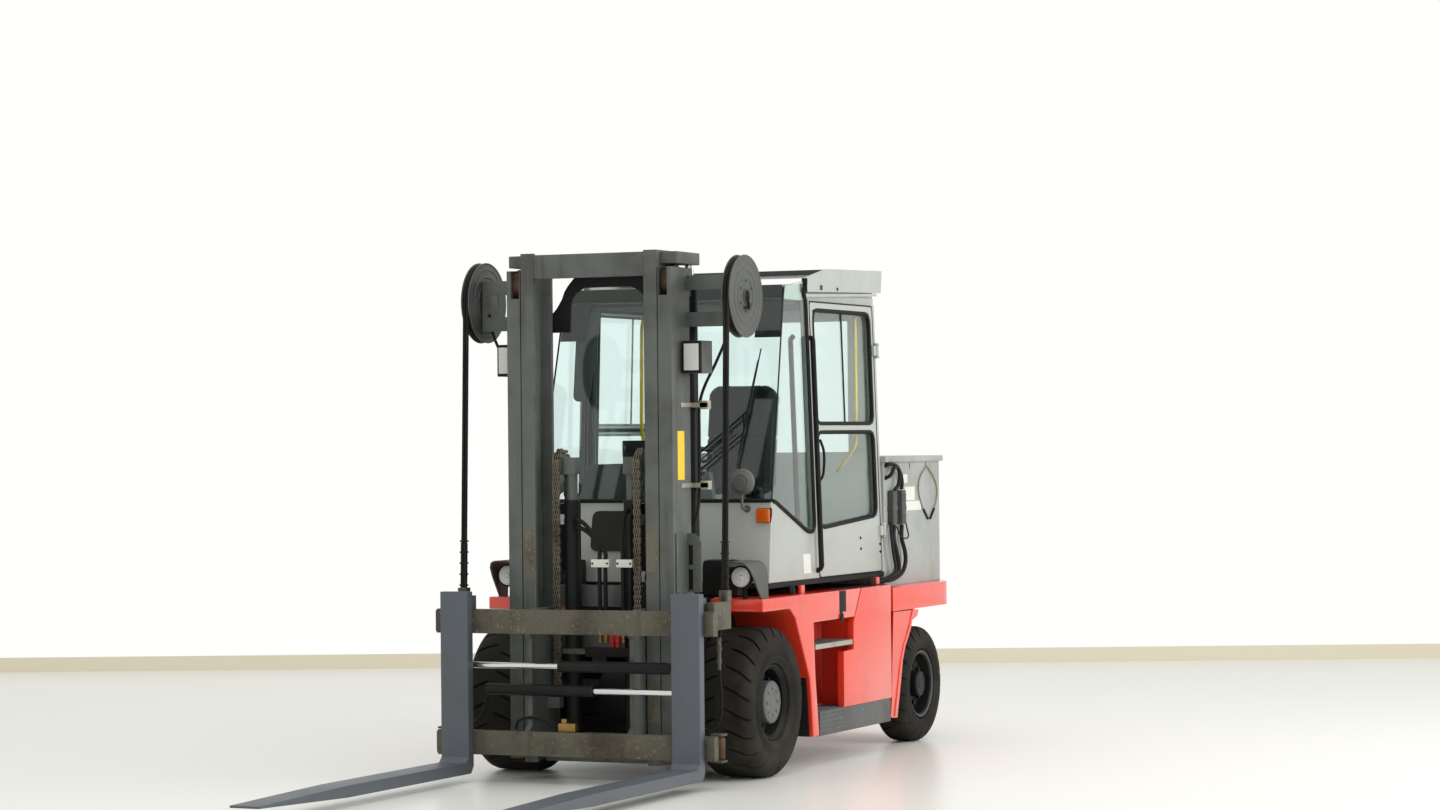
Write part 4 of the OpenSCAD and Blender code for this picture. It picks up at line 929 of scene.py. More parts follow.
# %% The leaning side of the cab
CAB_HALF, CAB_FLOOR, CAB_IN, CAB_UP = 760, 1075, 52, 1625
LEAN = math.atan(CAB_IN / CAB_UP)
SCREEN_Y, SCREEN_Z, SCREEN_SLOPE = 271, 1535, 0.2436
PANE_EDGE = [(283, 463), (312, 462), (781, 276), (861, 276), (885, 311), (885, 1620), (864, 1654), (864, 1700)]
DOOR_PANES = [((986, 290), (1890, 344), (1890, 855), (986, 855)), ((986, 905), (1890, 905), (1890, 1575), (986, 1575))]
DOOR_EDGE = [(938, 3), (938, 1622), (1938, 1622), (1938, 3)]
GRAB_RAIL = [(-10, 905, 1405), (34, 896, 1408), (34, 896, 60), (-10, 905, 40)]
INNER_RAIL = [(-52, 800, 1420), (-74, 800, 1400), (-74, 800, 340), (-45, 800, 300)]


def on_side(side, out, y, up):
    """A point of a cab side: millimetres out of its face, from the front axle and up from the cab's floor."""
    x = CAB_HALF + out * math.cos(LEAN) - up * math.sin(LEAN)
    return at(side * x, y, CAB_FLOOR + out * math.sin(LEAN) + up * math.cos(LEAN))


def screen_at(x, z, out=0.0):
    """A point on the windscreen's outer face, some millimetres proud of it."""
    return at(x, SCREEN_Y + (z - SCREEN_Z) * SCREEN_SLOPE - out * 0.97, z + out * 0.236)


def half_width(z):
    return CAB_HALF - (z - CAB_FLOOR) * CAB_IN / CAB_UP


def side_edge(side, out, edge, radius, steps=6, closed=False):
    """A line with rounded corners along (y, up) points of a cab side."""
    return rounded([on_side(side, out, y, up) for y, up in edge], radius, steps, closed)


for side, word in SIDES:
    door = "door_" + word
    tube_piece("pane_seal_" + word, "chassis", [side_edge(side, 0, PANE_EDGE, 60)], 13, SEAL, 10, 60)
    seals = [side_edge(side, -6, pane, 70, closed=True) for pane in DOOR_PANES]
    tube_piece("door_seals_" + word, door, seals, 13, SEAL, 10, 60, True)
    tube_piece("door_bars_" + word, door, [[on_side(side, -19, 1470, up) for up in (918, 1562)]], 7, PLASTIC, 8, 60)
    for name, rail, bend, r, seg in (("grab_rail_", GRAB_RAIL, 40, 14, 14), ("inner_rail_", INNER_RAIL, 30, 15, 12)):
        tube_piece(name + word, "chassis", [rounded([on_side(side, *p) for p in rail], bend)], r, PLASTIC, seg, 60)
    tube_piece("door_gap_" + word, "chassis", [side_edge(side, -1, DOOR_EDGE, 30, 4, True)], 4.2, SEAL, 6, 60, True)
print("seals and rails on both cab sides, which lean by", round(math.degrees(LEAN), 2), "degrees")

# %% [markdown]
# The windscreen has a dark band along its top, a visor inside it and a blind on the right. Each is a ribbon, a
# thin strip between two matching lines of points. The arched tie plate that shows above them belongs to the
# outer mast, and it is a ribbon too.

# %% Ribbons and the visor
VISOR_TOP, VISOR_LOW, VISOR_IN, VISOR_END = 2774, 2712, 545, 2480


def ribbon(bm, outer, inner, thick):
    """A closed band between two lines of matching points, a few millimetres thick along +Y."""
    back = Vector((0, thick / 1000, 0))
    rows = [[bm.verts.new(p) for p in outer], [bm.verts.new(p) for p in inner],
            [bm.verts.new(p + back) for p in inner], [bm.verts.new(p + back) for p in outer]]
    for k in range(len(outer) - 1):
        for a in range(4):
            b = (a + 1) % 4
            bm.faces.new((rows[a][k], rows[a][k + 1], rows[b][k + 1], rows[b][k]))
    bm.faces.new([rows[a][0] for a in range(4)])
    bm.faces.new([rows[a][-1] for a in (3, 2, 1, 0)])


def ribbon_piece(name, material, outer, inner, thick):
    bm = bmesh.new()
    ribbon(bm, outer, inner, thick)
    return from_bmesh(name, bm, material, "chassis", 40)


def visor_leg(side):
    """Matching outer and inner points of half a visor band, from a leg's end up to the middle of the screen."""
    corner = [(VISOR_IN, VISOR_END, 0), (VISOR_IN, VISOR_LOW, 0), (0, VISOR_LOW, 0)]
    inner = rounded(corner, 110000, 10)
    pairs = []
    for k, p in enumerate(inner):
        t = min(max((k - 1) / 10, 0), 1)
        edge = half_width(p.y) - 8
        if k == 0:
            mate = (edge, VISOR_END)
        elif k == len(inner) - 1:
            mate = (0, VISOR_TOP)
        elif t < 0.5:
            mate = (edge, p.y + (VISOR_TOP - p.y) * t * 2)
        else:
            mate = (edge - (edge - p.x) * (t - 0.5) * 2, VISOR_TOP)
        pairs.append((screen_at(side * mate[0], mate[1], -10), screen_at(side * p.x, p.y, -10)))
    return pairs


visor = visor_leg(1) + visor_leg(-1)[-2::-1]
ribbon_piece("screen_visor", PLASTIC, [a for a, b in visor], [b for a, b in visor], 4)
print("visor of", len(visor), "steps")

# %% The arched tie plate of the outer mast
ARCH_OUT = [(470, 2505), (470, 2580), (400, 2588), (357, 2604), (322, 2640), (290, 2690), (272, 2735), (250, 2768),
            (205, 2818), (0, 2818)]
ARCH_IN = [(239, 2505), (238, 2540), (237, 2580), (236, 2610), (234, 2640), (231, 2672), (220, 2703), (199, 2728),
           (150, 2754), (0, 2756)]
ARCH_Y = -302


def arch_line(half):
    """Both halves of one edge of the plate."""
    return [at(x, ARCH_Y, z) for x, z in half] + [at(-x, ARCH_Y, z) for x, z in half[-2::-1]]


bm = bmesh.new()
ribbon(bm, arch_line(ARCH_OUT), arch_line(ARCH_IN), 16)
bevel_sharp(bm, 2)
for x in (432, -470):
    add_box(bm, x, x + 38, -313, ARCH_Y, 2512, 2574)
arch = from_bmesh("mast_arch", bm, PLASTIC, "mast_outer", 40)
print("arched plate of", len(arch.data.polygons), "faces")

# %% Screen band, blind, seal and wiper
BLIND = [(-476, 2700, 0), (-488, 2129, 0), (-596, 2129, 0), (-630, 2700, 0)]
WIPER_ARMS = ((((-20, 1560), (531, 2025)), 6.5), (((112, 1560), (545, 1926)), 5.0), (((545, 1926), (531, 2025)), 5.5),
              (((30, 1552), (480, 1932)), 3.4))
ribbon_piece("screen_band", LINING, [screen_at(x, 2782, 2.5) for x in (-695, 695)],
             [screen_at(x, 2704, 2.5) for x in (-697, 697)], 1.5)
blind = [screen_at(p.x, p.y, -34) for p in rounded(BLIND, 42000)]
half = len(blind) // 2
ribbon_piece("side_blind", LINING, blind[:half], blind[:half - 1:-1], 6)
bm = bmesh.new()
for side, word in SIDES:
    sweep(bm, [screen_at(side * (half_width(z) - 3), z, 0) for z in (1548, 1900, 2300, 2765)], 3.5, 8)
sweep(bm, [screen_at(x, 1541, 3) for x in (-738, -300, 300, 738)], 11, 8)
from_bmesh("screen_seal", bm, SEAL, "chassis", 60)
bm = bmesh.new()
for ends, r in WIPER_ARMS:
    sweep(bm, [screen_at(x, z, 24) for x, z in ends], r, 8)
sweep(bm, [screen_at(x, z, 12) for x, z in ((601, 2410), (558, 2069), (515, 1728))], 6, 8, flat=0.6)
sweep(bm, [screen_at(592, 2340, 20), screen_at(558, 2069, 30), screen_at(524, 1798, 20)], 4.5, 8)
sweep(bm, [screen_at(531, 2025, 24), screen_at(552, 2040, 30)], 8, 10)
for x in (-20, 112):
    sweep(bm, [screen_at(x, 1560, 26), screen_at(x, 1556, -6)], 14, 12)
from_bmesh("wiper", bm, PLASTIC, "chassis", 50)
print("windscreen band, blind, seal and wiper")

# %% Cowl hatch, indicators and mirrors
COWL_Y, COWL_SLOPE = 187, 84 / 460
INDICATOR_X, INDICATOR_Y = 705, COWL_Y + (1460 - CAB_FLOOR) * COWL_SLOPE
MIRROR_X, MIRROR_Y, MIRROR_Z = 596, 190, 1650
MIRROR_FACE = [(0, 21), (40, 20), (64, 16), (69, 14), (69, 10), (0, 10)]
MIRROR_BACK = [(0, -22), (24, -21.5), (26, -19), (46, -17), (48, -14.5), (64, -8), (74, 4), (75, 12), (73, 17),
               (70, 17), (70, 9), (0, 9)]
MIRROR_FOOT = [(0, -6), (20, -6), (22, 0), (22, 6), (0, 6)]


def cowl_at(x, z, out=0.0):
    return at(x, COWL_Y + (z - CAB_FLOOR) * COWL_SLOPE - out, z)


def indicator_boxes(half, y0, y1, rows):
    return both_ways([(INDICATOR_X - half, INDICATOR_X + half, INDICATOR_Y + y0, INDICATOR_Y + y1, z0, z1)
                      for z0, z1 in rows])


# The cowl hatch takes the hatch finish, whose colour carries painted shade.
hatch = rounded([cowl_at(x, z) for x, z in ((-379, 1253), (262, 1253), (262, 1484), (-379, 1484))], 45, 5, closed=True)
prism_piece("cowl_hatch", "chassis", SHADED_HATCH, [[[p + Vector((0, off, 0)) for p in hatch] for off in (-0.008, 0.004)]], 3)
box_piece("indicator_lenses", "chassis", indicator_boxes(40, -34, -8, [(1420, 1498)]), ORANGE, 11)
box_piece("indicator_bases", "chassis", indicator_boxes(43, -10, 14, [(1417, 1501)]), PLASTIC, 6)
ribs = indicator_boxes(33, -36, -32, [(z, z + 5) for z in (1440, 1456, 1472)])
box_piece("indicator_ribs", "chassis", ribs, ORANGE, 0)
for side, word in SIDES:
    middle, foot = at(side * MIRROR_X, MIRROR_Y, MIRROR_Z), cowl_at(side * MIRROR_X, 1495)
    turned_piece("mirror_face_" + word, "chassis", MIRROR, MIRROR_FACE, [(middle, 1)], 40, "Y", 40)
    bm = bmesh.new()
    lathe(bm, MIRROR_BACK, middle, 40, 1, "Y")
    sweep(bm, rounded([at(side * MIRROR_X, MIRROR_Y, 1582), at(side * MIRROR_X, MIRROR_Y, 1496),
                       cowl_at(side * MIRROR_X, 1495, -6)], 25), 8, 10)
    lathe(bm, MIRROR_FOOT, foot, 20, 1, "Y")
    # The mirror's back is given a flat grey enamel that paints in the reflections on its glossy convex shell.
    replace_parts(from_bmesh("mirror_back_" + word, bm, HUB, "chassis", 40), "mirrors")
print("hatch,", len(ribs), "lens ribs and two mirrors")

# %% Head lamps and work lamps
LAMP_X, LAMP_Y, LAMP_Z = 731, -150, 1124
LAMP_BOWL = [(0, 70), (50, 64), (64, 40), (66, 4), (64, -2), (58, -3), (56, 2), (56, 30), (0, 44)]
LAMP_LENS = [(0, -7), (20, -6), (40, -3), (55.5, 2), (55.5, 8), (0, 8)]
LAMP_RING = [(14, -8), (16, -6), (14, -4)]
HOOD_OUT = [(826, 1000), (822, 1120), (814, 1170), (796, 1200), (770, 1211), (690, 1214), (668, 1204), (664, 1180)]
HOOD_IN = [(818, 1000), (814, 1118), (807, 1165), (791, 1193), (768, 1203), (692, 1206), (676, 1199), (672, 1180)]
HOOD_BACK = 24


def lamp_hood(side, word):
    """A bent sheet over a head lamp, cut off at a slant in front."""
    section = HOOD_OUT + HOOD_IN[::-1]
    count = len(section)
    bm = bmesh.new()
    rows = [[bm.verts.new(at(side * x, -76 - (z - 1000) * 0.78, z)) for x, z in section],
            [bm.verts.new(at(side * x, HOOD_BACK, z)) for x, z in section]]
    for k in range(count):
        j = (k + 1) % count
        bm.faces.new((rows[0][k], rows[0][j], rows[1][j], rows[1][k]))
    for row in rows:
        for k in range(len(HOOD_OUT) - 1):
            bm.faces.new((row[k], row[k + 1], row[count - 2 - k], row[count - 1 - k]))
    from_bmesh("lamp_hood_" + word, bm, REEL, "chassis", 40)


for side, word in SIDES:
    lamp = [(at(side * LAMP_X, LAMP_Y, LAMP_Z), 1)]
    bm = bmesh.new()
    lathe(bm, LAMP_BOWL, lamp[0][0], 48, 1, "Y")
    sweep(bm, [at(side * LAMP_X, -92, z) for z in (1070, 1002)], 13, 12)
    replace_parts(from_bmesh("lamp_bowl_" + word, bm, PLASTIC, "chassis", 40), "front_lamps")
    turned_piece("lamp_lens_" + word, "chassis", LENS, LAMP_LENS, lamp, 48, "Y", 40)
    turned_piece("lamp_ring_" + word, "chassis", CHROME, LAMP_RING, lamp, 32, "Y", 40, True)
    lamp_hood(side, word)
    x0, x1 = sorted((side * 520, side * 632))
    box_piece("work_lamp_frame_" + word, "mast_outer", [(x0, x1, -440, -424, 2262, 2438)], PLASTIC, 6)
    box_piece("work_lamp_pane_" + word, "mast_outer", [(x0 + 12, x1 - 12, -446, -438, 2276, 2424)], LENS, 3)
pane_ribs = both_ways([(532, 620, -447.5, -444, z, z + 4) for z in (2312, 2349, 2386)])
box_piece("lamp_pane_ribs", "mast_outer", pane_ribs, LENS, 0.8)
print("cab trim and lamps")

# %% [markdown]
# ## Mast plates and rollers
# Small flat pieces finish the mast: a blank yellow plate, the slotted guard beside the upright and the browned steel
# rollers that show in the notches at the top. The rollers are part of the upright's solid, so their faces only take
# another material slot.

# %% Mast plates and rollers
GUARD_BARS = ((512, 521, 1050, 1320), (548, 600, 1050, 1312), (520, 549, 1050, 1062), (520, 549, 1176, 1201))
GUARD_CREST = ((512, 1312), (600, 1308), (600, 1324), (586, 1350), (556, 1374), (512, 1376))
GUARD_Y = (-386, -378)
ROLLER_AXIS, ROLLER_R, ROLLER_FROM, ROLLER_TO = at(0, -433, 2770), 0.0915, 0.4305, 0.4872
box_piece("yellow_strips", "mast_outer", [(508, 509.5, -487, -398, 1672, 1942)], YELLOW, 0.5)
box_piece("guard_side", "mast_outer", [(508, 518, -528, -378, 1050, 1376)], MAST, 5)
bm = bmesh.new()
for x0, x1, z0, z1 in GUARD_BARS:
    add_box(bm, x0, x1, *GUARD_Y, z0, z1)
prism(bm, *([at(x, y, z) for x, z in GUARD_CREST] for y in GUARD_Y))
bevel_sharp(bm, 1.5)
from_bmesh("slotted_guard", bm, MAST, "mast_outer", 40)
box_piece("guard_back", "mast_outer", [(514, 560, -376, -371, 1056, 1326)], BLACK, 1)
rubs = both_ways([(344, 416, -553.6, -552, z0, z1) for z0, z1 in ((1165, 1400), (340, 570))])
box_piece("rub_marks", "mast_inner", rubs, RUBBED, 0)
upright = bpy.data.objects["outer_uprights_finished"]
upright.data.materials.append(RUST)
browned = 0
for face in upright.data.polygons:
    off = face.center - ROLLER_AXIS
    if ROLLER_FROM < abs(off.x) < ROLLER_TO and math.hypot(off.y, off.z) < ROLLER_R:
        face.material_index = 1
        browned += 1
print("mast plates;", browned, "roller faces browned")

# %% [markdown]
# ## Fork bar ends, skirts and mounts
# Lower down, the fork bars end in stops and small rollers, a red skirt plate stands ahead of each rear wheel, the
# cab's rubber mounts have caps, and a drive housing fills the space between the front wheels.

# %% Fork bar ends, skirts and mounts
BAR_ROLLER = [(0, 138), (14, 138), (14, 128), (26, 126), (28, 122), (28, 16), (26, 12), (14, 10), (14, 0), (0, 0)]
MOUNT_CAP = [(0, 16), (22, 16), (24, 12), (32, 12), (36, 8), (36, 0), (0, 0)]
KNOB = [(0, 14), (14, 13), (26, 8), (32, 0), (0, 0)]
SKIRT = ((1817, 193), (1928, 184), (2000, 420), (2060, 642), (2142, 749), (2287, 788), (2310, 826), (1880, 830),
         (1850, 500), (1838, 301))
box_piece("bar_end_stops", "carriage", both_ways([(806, 850, -792, -778, z + 8, z + 126) for z in (156, 829)]), BAR, 4)
turned_piece("bar_end_rollers", "carriage", RUST, BAR_ROLLER, [(at(side * 842, -698, 154), 1) for side, word in SIDES],
             20, "Z", 35)
box_piece("roller_brackets", "carriage", both_ways([(800, 872, -738, -668, z, z + 12) for z in (146, 290)]), BAR, 3)
skirts = [[[at(side * x, y, z) for y, z in SKIRT] for x in (846, 854)] for side, word in SIDES]
prism_piece("mudguard_skirts", "chassis", RED, skirts, 2)
caps = [(at(side * 770, y, 1018), side) for side, word in SIDES for y in (487, 1716)]
turned_piece("mount_caps", "chassis", RUBBER, MOUNT_CAP, caps, 32)
tabs = both_ways([(764, 784, 594, 652, 1001, 1048), (764, 784, 1780, 1832, 1001, 1046)])
box_piece("mount_tabs", "chassis", tabs, RED, 6)
# Black strips standing just proud of the side panels paint in the shade of the slot at the joint of fender panel and
# box.
box_piece("panel_slots", "chassis", both_ways([(858, 861, 992, 1094, 874, 998)]), BLACK, 0.5)
knobs = [(at(side * 858, 1019, 846), side) for side, word in SIDES]
turned_piece("slot_knobs", "chassis", PLASTIC, KNOB, knobs, 24, smooth=60)
box_piece("lamp_support", "chassis", both_ways([(382, 610, 90, 186, 1002, 1212)]), BLACK, 40)
box_piece("drive_housing", "chassis", [(-330, 330, -70, 380, 178, 330), (-120, 120, -120, -60, 200, 320)], BLACK, 24)
print("bar ends, skirts,", len(caps), "mount caps and the drive housing")

# %% [markdown]
# ## Steps, battery and roof fittings
# The steps are tread plate: a steel sheet rolled with small raised lozenges in a chequered pattern. A Geometry Nodes
# tree lays one lozenge on every point of a grid and turns each second one by a right angle.


# %% Tread plate
def build_tread_plate():
    """Geometry Nodes tree: a grid of lozenges, each turned against its neighbours."""
    tree, keys, taken = new_tree("tread_plate", (
        ("Columns", "Int", 8), ("Rows", "Int", 4), ("Pitch", "Float", 0.03), ("Length", "Float", 0.024),
        ("Width", "Float", 0.008), ("Height", "Float", 0.003), ("Turn", "Vector", None), ("Place", "Vector", None),
        ("Finish", "Material", None)))

    def maths(operation, a, b):
        return add_node(tree, "ShaderNodeMath", {0: a, 1: b}, operation=operation).outputs[0]

    grid = add_node(tree, "GeometryNodeMeshGrid")
    for key, axis in (("Columns", "X"), ("Rows", "Y")):
        span = maths("MULTIPLY", maths("SUBTRACT", taken[key], 1), taken["Pitch"])
        feed(grid, {"Vertices " + axis: taken[key], "Size " + axis: span})
    stud = add_node(tree, "GeometryNodeMeshCone", {"Vertices": 8, "Radius Top": 0.55, "Radius Bottom": 1.0,
                                                  "Depth": 2.0})
    size = add_node(tree, "ShaderNodeCombineXYZ")
    for key, axis in (("Length", "X"), ("Width", "Y"), ("Height", "Z")):
        feed(size, {axis: maths("MULTIPLY", taken[key], 0.5)})
    shaped = add_node(tree, "GeometryNodeTransform", {"Geometry": stud.outputs["Mesh"], "Scale": size.outputs[0]})
    index = add_node(tree, "GeometryNodeInputIndex").outputs[0]
    column = maths("FLOOR", maths("DIVIDE", index, taken["Rows"]), 0)
    odd = maths("FLOORED_MODULO", maths("ADD", index, maths("MULTIPLY", column, maths("ADD", taken["Rows"], 1))), 2)
    spin = add_node(tree, "ShaderNodeCombineXYZ", {"Z": maths("ADD", maths("MULTIPLY", odd, math.pi / 2), math.pi / 4)})
    put = add_node(tree, "GeometryNodeInstanceOnPoints", {
        "Points": grid.outputs["Mesh"], "Instance": shaped.outputs["Geometry"], "Rotation": spin.outputs[0]})
    laid = add_node(tree, "GeometryNodeTransform", {
        "Geometry": put.outputs["Instances"], "Rotation": taken["Turn"], "Translation": taken["Place"]})
    end_tree(tree, laid.outputs["Geometry"], taken["Finish"])
    return tree, keys


TREAD_PLATE, TREAD_SOCKETS = build_tread_plate()
QUARTER_TURN = math.pi / 2


def tread(name, columns, rows, turn, place):
    mesh = grown_mesh(name, TREAD_PLATE, TREAD_SOCKETS, {
        "Columns": columns, "Rows": rows, "Pitch": 0.026, "Length": 0.026, "Width": 0.009, "Height": 0.003,
        "Turn": turn, "Place": tuple(place), "Finish": STEP})
    return add_piece(name, mesh, STEP, "chassis", 30)


for side, word in SIDES:
    face = (QUARTER_TURN, 0, QUARTER_TURN * side)
    tread("step_face_studs_" + word, 15, 5, face, at(side * 860, 874, 244))
    tread("low_step_studs_" + word, 7, 20, (0, 0, 0), at(side * 752, 946, 315))
    tread("high_step_studs_" + word, 7, 21, (0, 0, 0), at(side * 748, 912, 705))
box_piece("step_edges", "chassis", both_ways([(853, 858, 628, 1197, 676, 704)]), ZINC, 1.5)
print("tread plate on six step faces")

# %% Battery box and its labels
BOX_X = 755
SLOTS = ((2430, 2440, 1699, 1732), (2718, 2728, 1704, 1735))
LABELS = ((2322, 2396, 1608, 1662), (2350, 2520, 1500, 1584), (2370, 2632, 1436, 1494))
for side, word in SIDES:
    x0, x1 = sorted((side * (BOX_X - 2), side * (BOX_X + 0.8)))
    box_piece("box_slots_" + word, "chassis", [(x0, x1) + slot for slot in SLOTS], PLASTIC, 0)
box_piece("blank_labels", "chassis", [(BOX_X, BOX_X + 0.8) + label for label in LABELS], PALE_PLATE, 0)
print(len(LABELS), "blank labels on the battery box")

# %% Battery cables, connectors and sense loops
CABLES = {
    "battery_cable_0": (24, [(752, 2012, 1716), (782, 2030, 1730), (786, 2128, 1716), (784, 2203, 1670),
                             (783, 2230, 1615), (776, 2236, 1572)]),
    "battery_cable_1": (24, [(752, 2016, 1640), (790, 2022, 1664), (800, 2052, 1704), (800, 2108, 1712),
                             (798, 2150, 1668), (792, 2150, 1606), (784, 2085, 1562)]),
    "battery_cable_2": (26, [(776, 2236, 1352), (780, 2222, 1268), (786, 2259, 1190), (786, 2268, 1122),
                             (782, 2224, 1060), (776, 2100, 1024), (764, 1960, 1016), (748, 1880, 1014)]),
    "battery_cable_3": (26, [(784, 2085, 1352), (788, 2066, 1278), (798, 2080, 1206), (798, 2116, 1133),
                             (794, 2128, 1072), (786, 2040, 1046), (770, 1950, 1024), (716, 1880, 1014)]),
    "battery_cable_4": (20, [(776, 2050, 1364), (800, 2004, 1269), (806, 2010, 1187), (804, 2052, 1103),
                             (800, 2040, 1064), (788, 1985, 1040), (760, 1930, 1018), (690, 1880, 1012)]),
}
STRAP = ((776, 2276, 1420), (786, 2300, 1330), (800, 2288, 1284), (804, 2233, 1268), (808, 2130, 1284),
         (802, 2098, 1330), (782, 2086, 1362))
SENSE_LOOPS = (((764, 2716, 1708), (762, 2693, 1692), (761, 2617, 1650), (761, 2576, 1590), (761, 2584, 1536),
                (761, 2620, 1482), (761, 2662, 1436)),
               ((764, 2728, 1708), (763, 2760, 1690), (762, 2830, 1650), (762, 2886, 1600), (762, 2908, 1548),
                (762, 2890, 1488), (762, 2842, 1432)))
SENSE_PLUGS = (((761, 2658, 1441), (761, 2736, 1376)), ((762, 2847, 1438), (762, 2776, 1376)))
CONNECTOR_X, CONNECTOR_YS = 776, (2236, 2085)


def connector_boxes(sizes):
    """Blocks about both connectors, each given as half sizes in x and y, and two heights."""
    return [(CONNECTOR_X - a, CONNECTOR_X + a, y - b, y + b, z0, z1) for y in CONNECTOR_YS for a, b, z0, z1 in sizes]


for name, (diameter, points) in CABLES.items():
    free_hose(name, "chassis", points, diameter, CABLE)
free_hose("connector_strap", "chassis", STRAP, 9, CABLE)
for number, points in enumerate(SENSE_LOOPS):
    free_hose(f"sense_loop_{number}", "chassis", points, 9, TAN_CABLE)
tube_piece("sense_plugs", "chassis", [[at(*p) for p in plug] for plug in SENSE_PLUGS], 7, PLASTIC)
plugs = connector_boxes(((17, 36, 1466, 1566), (19, 40, 1440, 1476), (17, 34, 1356, 1444)))
box_piece("battery_connectors", "chassis", plugs, CONNECTOR, 5)
grips = connector_boxes([(20, 37, z, z + 7) for z in (1378, 1394, 1410, 1500, 1516, 1532)])
box_piece("connector_ribs", "chassis", grips, CONNECTOR, 2)
print(len(CABLES), "battery cables and", len(SENSE_LOOPS), "sense loops")

# %% Roof, cab plates and door bolts
CAB_LABEL = ((700, 35), (808, 35), (808, 148), (700, 148))
DOOR_BOLTS = ((1600, 150), (1600, 215), (1915, 168), (1915, 122))
# A dark bar on the roof plate's front edge paints in the shadow on that edge and under it.
box_piece("roof_front_edge", "chassis", [(-684, 684, 1230, 1236, 2866, 2895)], TRIM, 2)
box_piece("fascia_brackets", "chassis", both_ways([(698, 729, 858, 869, 2744, 2830)]), PLASTIC, 3)
catches = both_ways([(724, 732, 1075, 1095, 2768, 2796), (724, 731, 1330, 1346, 2772, 2790)])
box_piece("fascia_catches", "chassis", catches, TRIM, 2)
label = [[on_side(1, out, y, up) for y, up in CAB_LABEL] for out in (0.8, -0.5)]
prism_piece("blank_cab_plate", "chassis", PALE_PLATE, [label], 0, 30)
for side, word in SIDES:
    bolts = [[on_side(side, out, y, up) for out in (-2, 5)] for y, up in DOOR_BOLTS]
    tube_piece("door_bolts_" + word, "door_" + word, bolts, 8, PLASTIC, 10, 40)
print("battery, roof and plates")

# %% [markdown]
# ## Inside the cab
# The cab's doors, sides and roof are lined with dark panels, which is why the windows look deeper than the pale
# outside, and its rear wall is pale. The seat is the only soft thing on the truck. Its cushions start as smaller
# blocks, are remeshed into small squares and blown up by cloth pressure, so their faces crown and their corners
# stay tight.

# %% Lining and rails
DOOR_LINING = [(950, 972, 20, 1610), (1904, 1928, 20, 1610), (974, 1902, 20, 276), (974, 1902, 869, 891),
               (974, 1902, 1589, 1610)]
SIDE_LINING = [(896, 932, 10, 1612), (330, 894, 10, 262)]
BINNACLE = ((-580, 1500), (330, 1500), (300, 1700), (-60, 1760), (-470, 1752), (-562, 1538))
DOOR_HANDLE = ((744, 984, 1640), (758, 1004, 1672), (764, 1012, 1740), (762, 1012, 1820), (744, 1000, 1886))
HANDRAILS = (((620, 1930, 2640), (622, 1862, 2630), (626, 1860, 1850), (500, 1880, 1700), (470, 1932, 1690)),
             ((-640, 1560, 2675), (-642, 1500, 2600), (-650, 1500, 1960), (-664, 1560, 1880)))


def lining_piece(name, body, side, inside, sheets):
    """Sheets in the leaning frame of a cab side, from a depth in millimetres up to 41 inside its face."""
    bm = bmesh.new()
    for y0, y1, z0, z1 in sheets:
        corners = [bm.verts.new(on_side(side, x, y, z)) for x in (inside, -41) for y in (y0, y1) for z in (z0, z1)]
        for quad in ((0, 1, 3, 2), (4, 6, 7, 5), (0, 4, 5, 1), (2, 3, 7, 6), (0, 2, 6, 4), (1, 5, 7, 3)):
            bm.faces.new([corners[k] for k in quad])
    bevel_sharp(bm, 2)
    from_bmesh(name, bm, LINING, body, 40)


for side, word in SIDES:
    lining_piece("door_lining_" + word, "door_" + word, side, -46, DOOR_LINING)
    lining_piece("side_lining_" + word, "chassis", side, -47, SIDE_LINING)
box_piece("rear_lining", "chassis", [(-655, 655, 1934, 1940, 1085, 1800), (-655, -546, 1934, 1940, 1802, 2612),
                                     (546, 655, 1934, 1940, 1802, 2612), (-655, 655, 1934, 1940, 2614, 2692)],
          PALE_PLATE, 2)
box_piece("roof_lining", "chassis", [(-655, 655, 900, 1925, 2684, 2699), (-640, 640, 640, 890, 2676, 2699)], LINING, 4)
box_piece("dash_panel", "chassis", [(-690, 690, 328, 400, 1490, 1528), (-680, 680, 330, 352, 1085, 1488)], LINING, 6)
prism_piece("dash_binnacle", "chassis", LINING, [[[at(x, y, z) for x, z in BINNACLE] for y in (396, 446)]], 10)
for side, word in SIDES:
    handle = smooth_path([at(side * x, y, z) for x, y, z in DOOR_HANDLE], 6)
    tube_piece("door_handle_" + word, "door_" + word, [handle], 8, PLASTIC)
tube_piece("inner_handrails", "chassis", [rounded([at(*p) for p in rail], 60) for rail in HANDRAILS], 11, YELLOW)
print("lining, dash, handles and", len(HANDRAILS), "hand rails")

# %% Console and levers
CONSOLE = [(-420, -285, 1050, 1500, 1500, 1600), (-440, -270, 960, 1120, 1598, 1690)]
LEVERS, STALK = (-410, -372, -334, -296), ((-330, 900, 1560), (-345, 880, 1700), (-360, 860, 1800))
box_piece("arm_console", "chassis", CONSOLE, PLASTIC, 14)
bm = bmesh.new()
for x in LEVERS:
    sweep(bm, [at(x, 1010, 1686), at(x, 985, 1756)], 4, 8)
    bmesh.ops.create_uvsphere(bm, u_segments=16, v_segments=10, radius=0.015,
                              matrix=Matrix.Translation(at(x, 983, 1762)))
sweep(bm, smooth_path([at(*p) for p in STALK], 6), 8, 10)
from_bmesh("console_levers", bm, PLASTIC, "chassis", 50)
box_piece("console_screen", "chassis", [(-470, -300, 845, 872, 1790, 1890)], PLASTIC, 10)
tube_piece("console_foot", "chassis", [[at(-352, 1280, z) for z in (1080, 1502)]], 28, PLASTIC, 20)
print("console with", len(LEVERS), "levers")


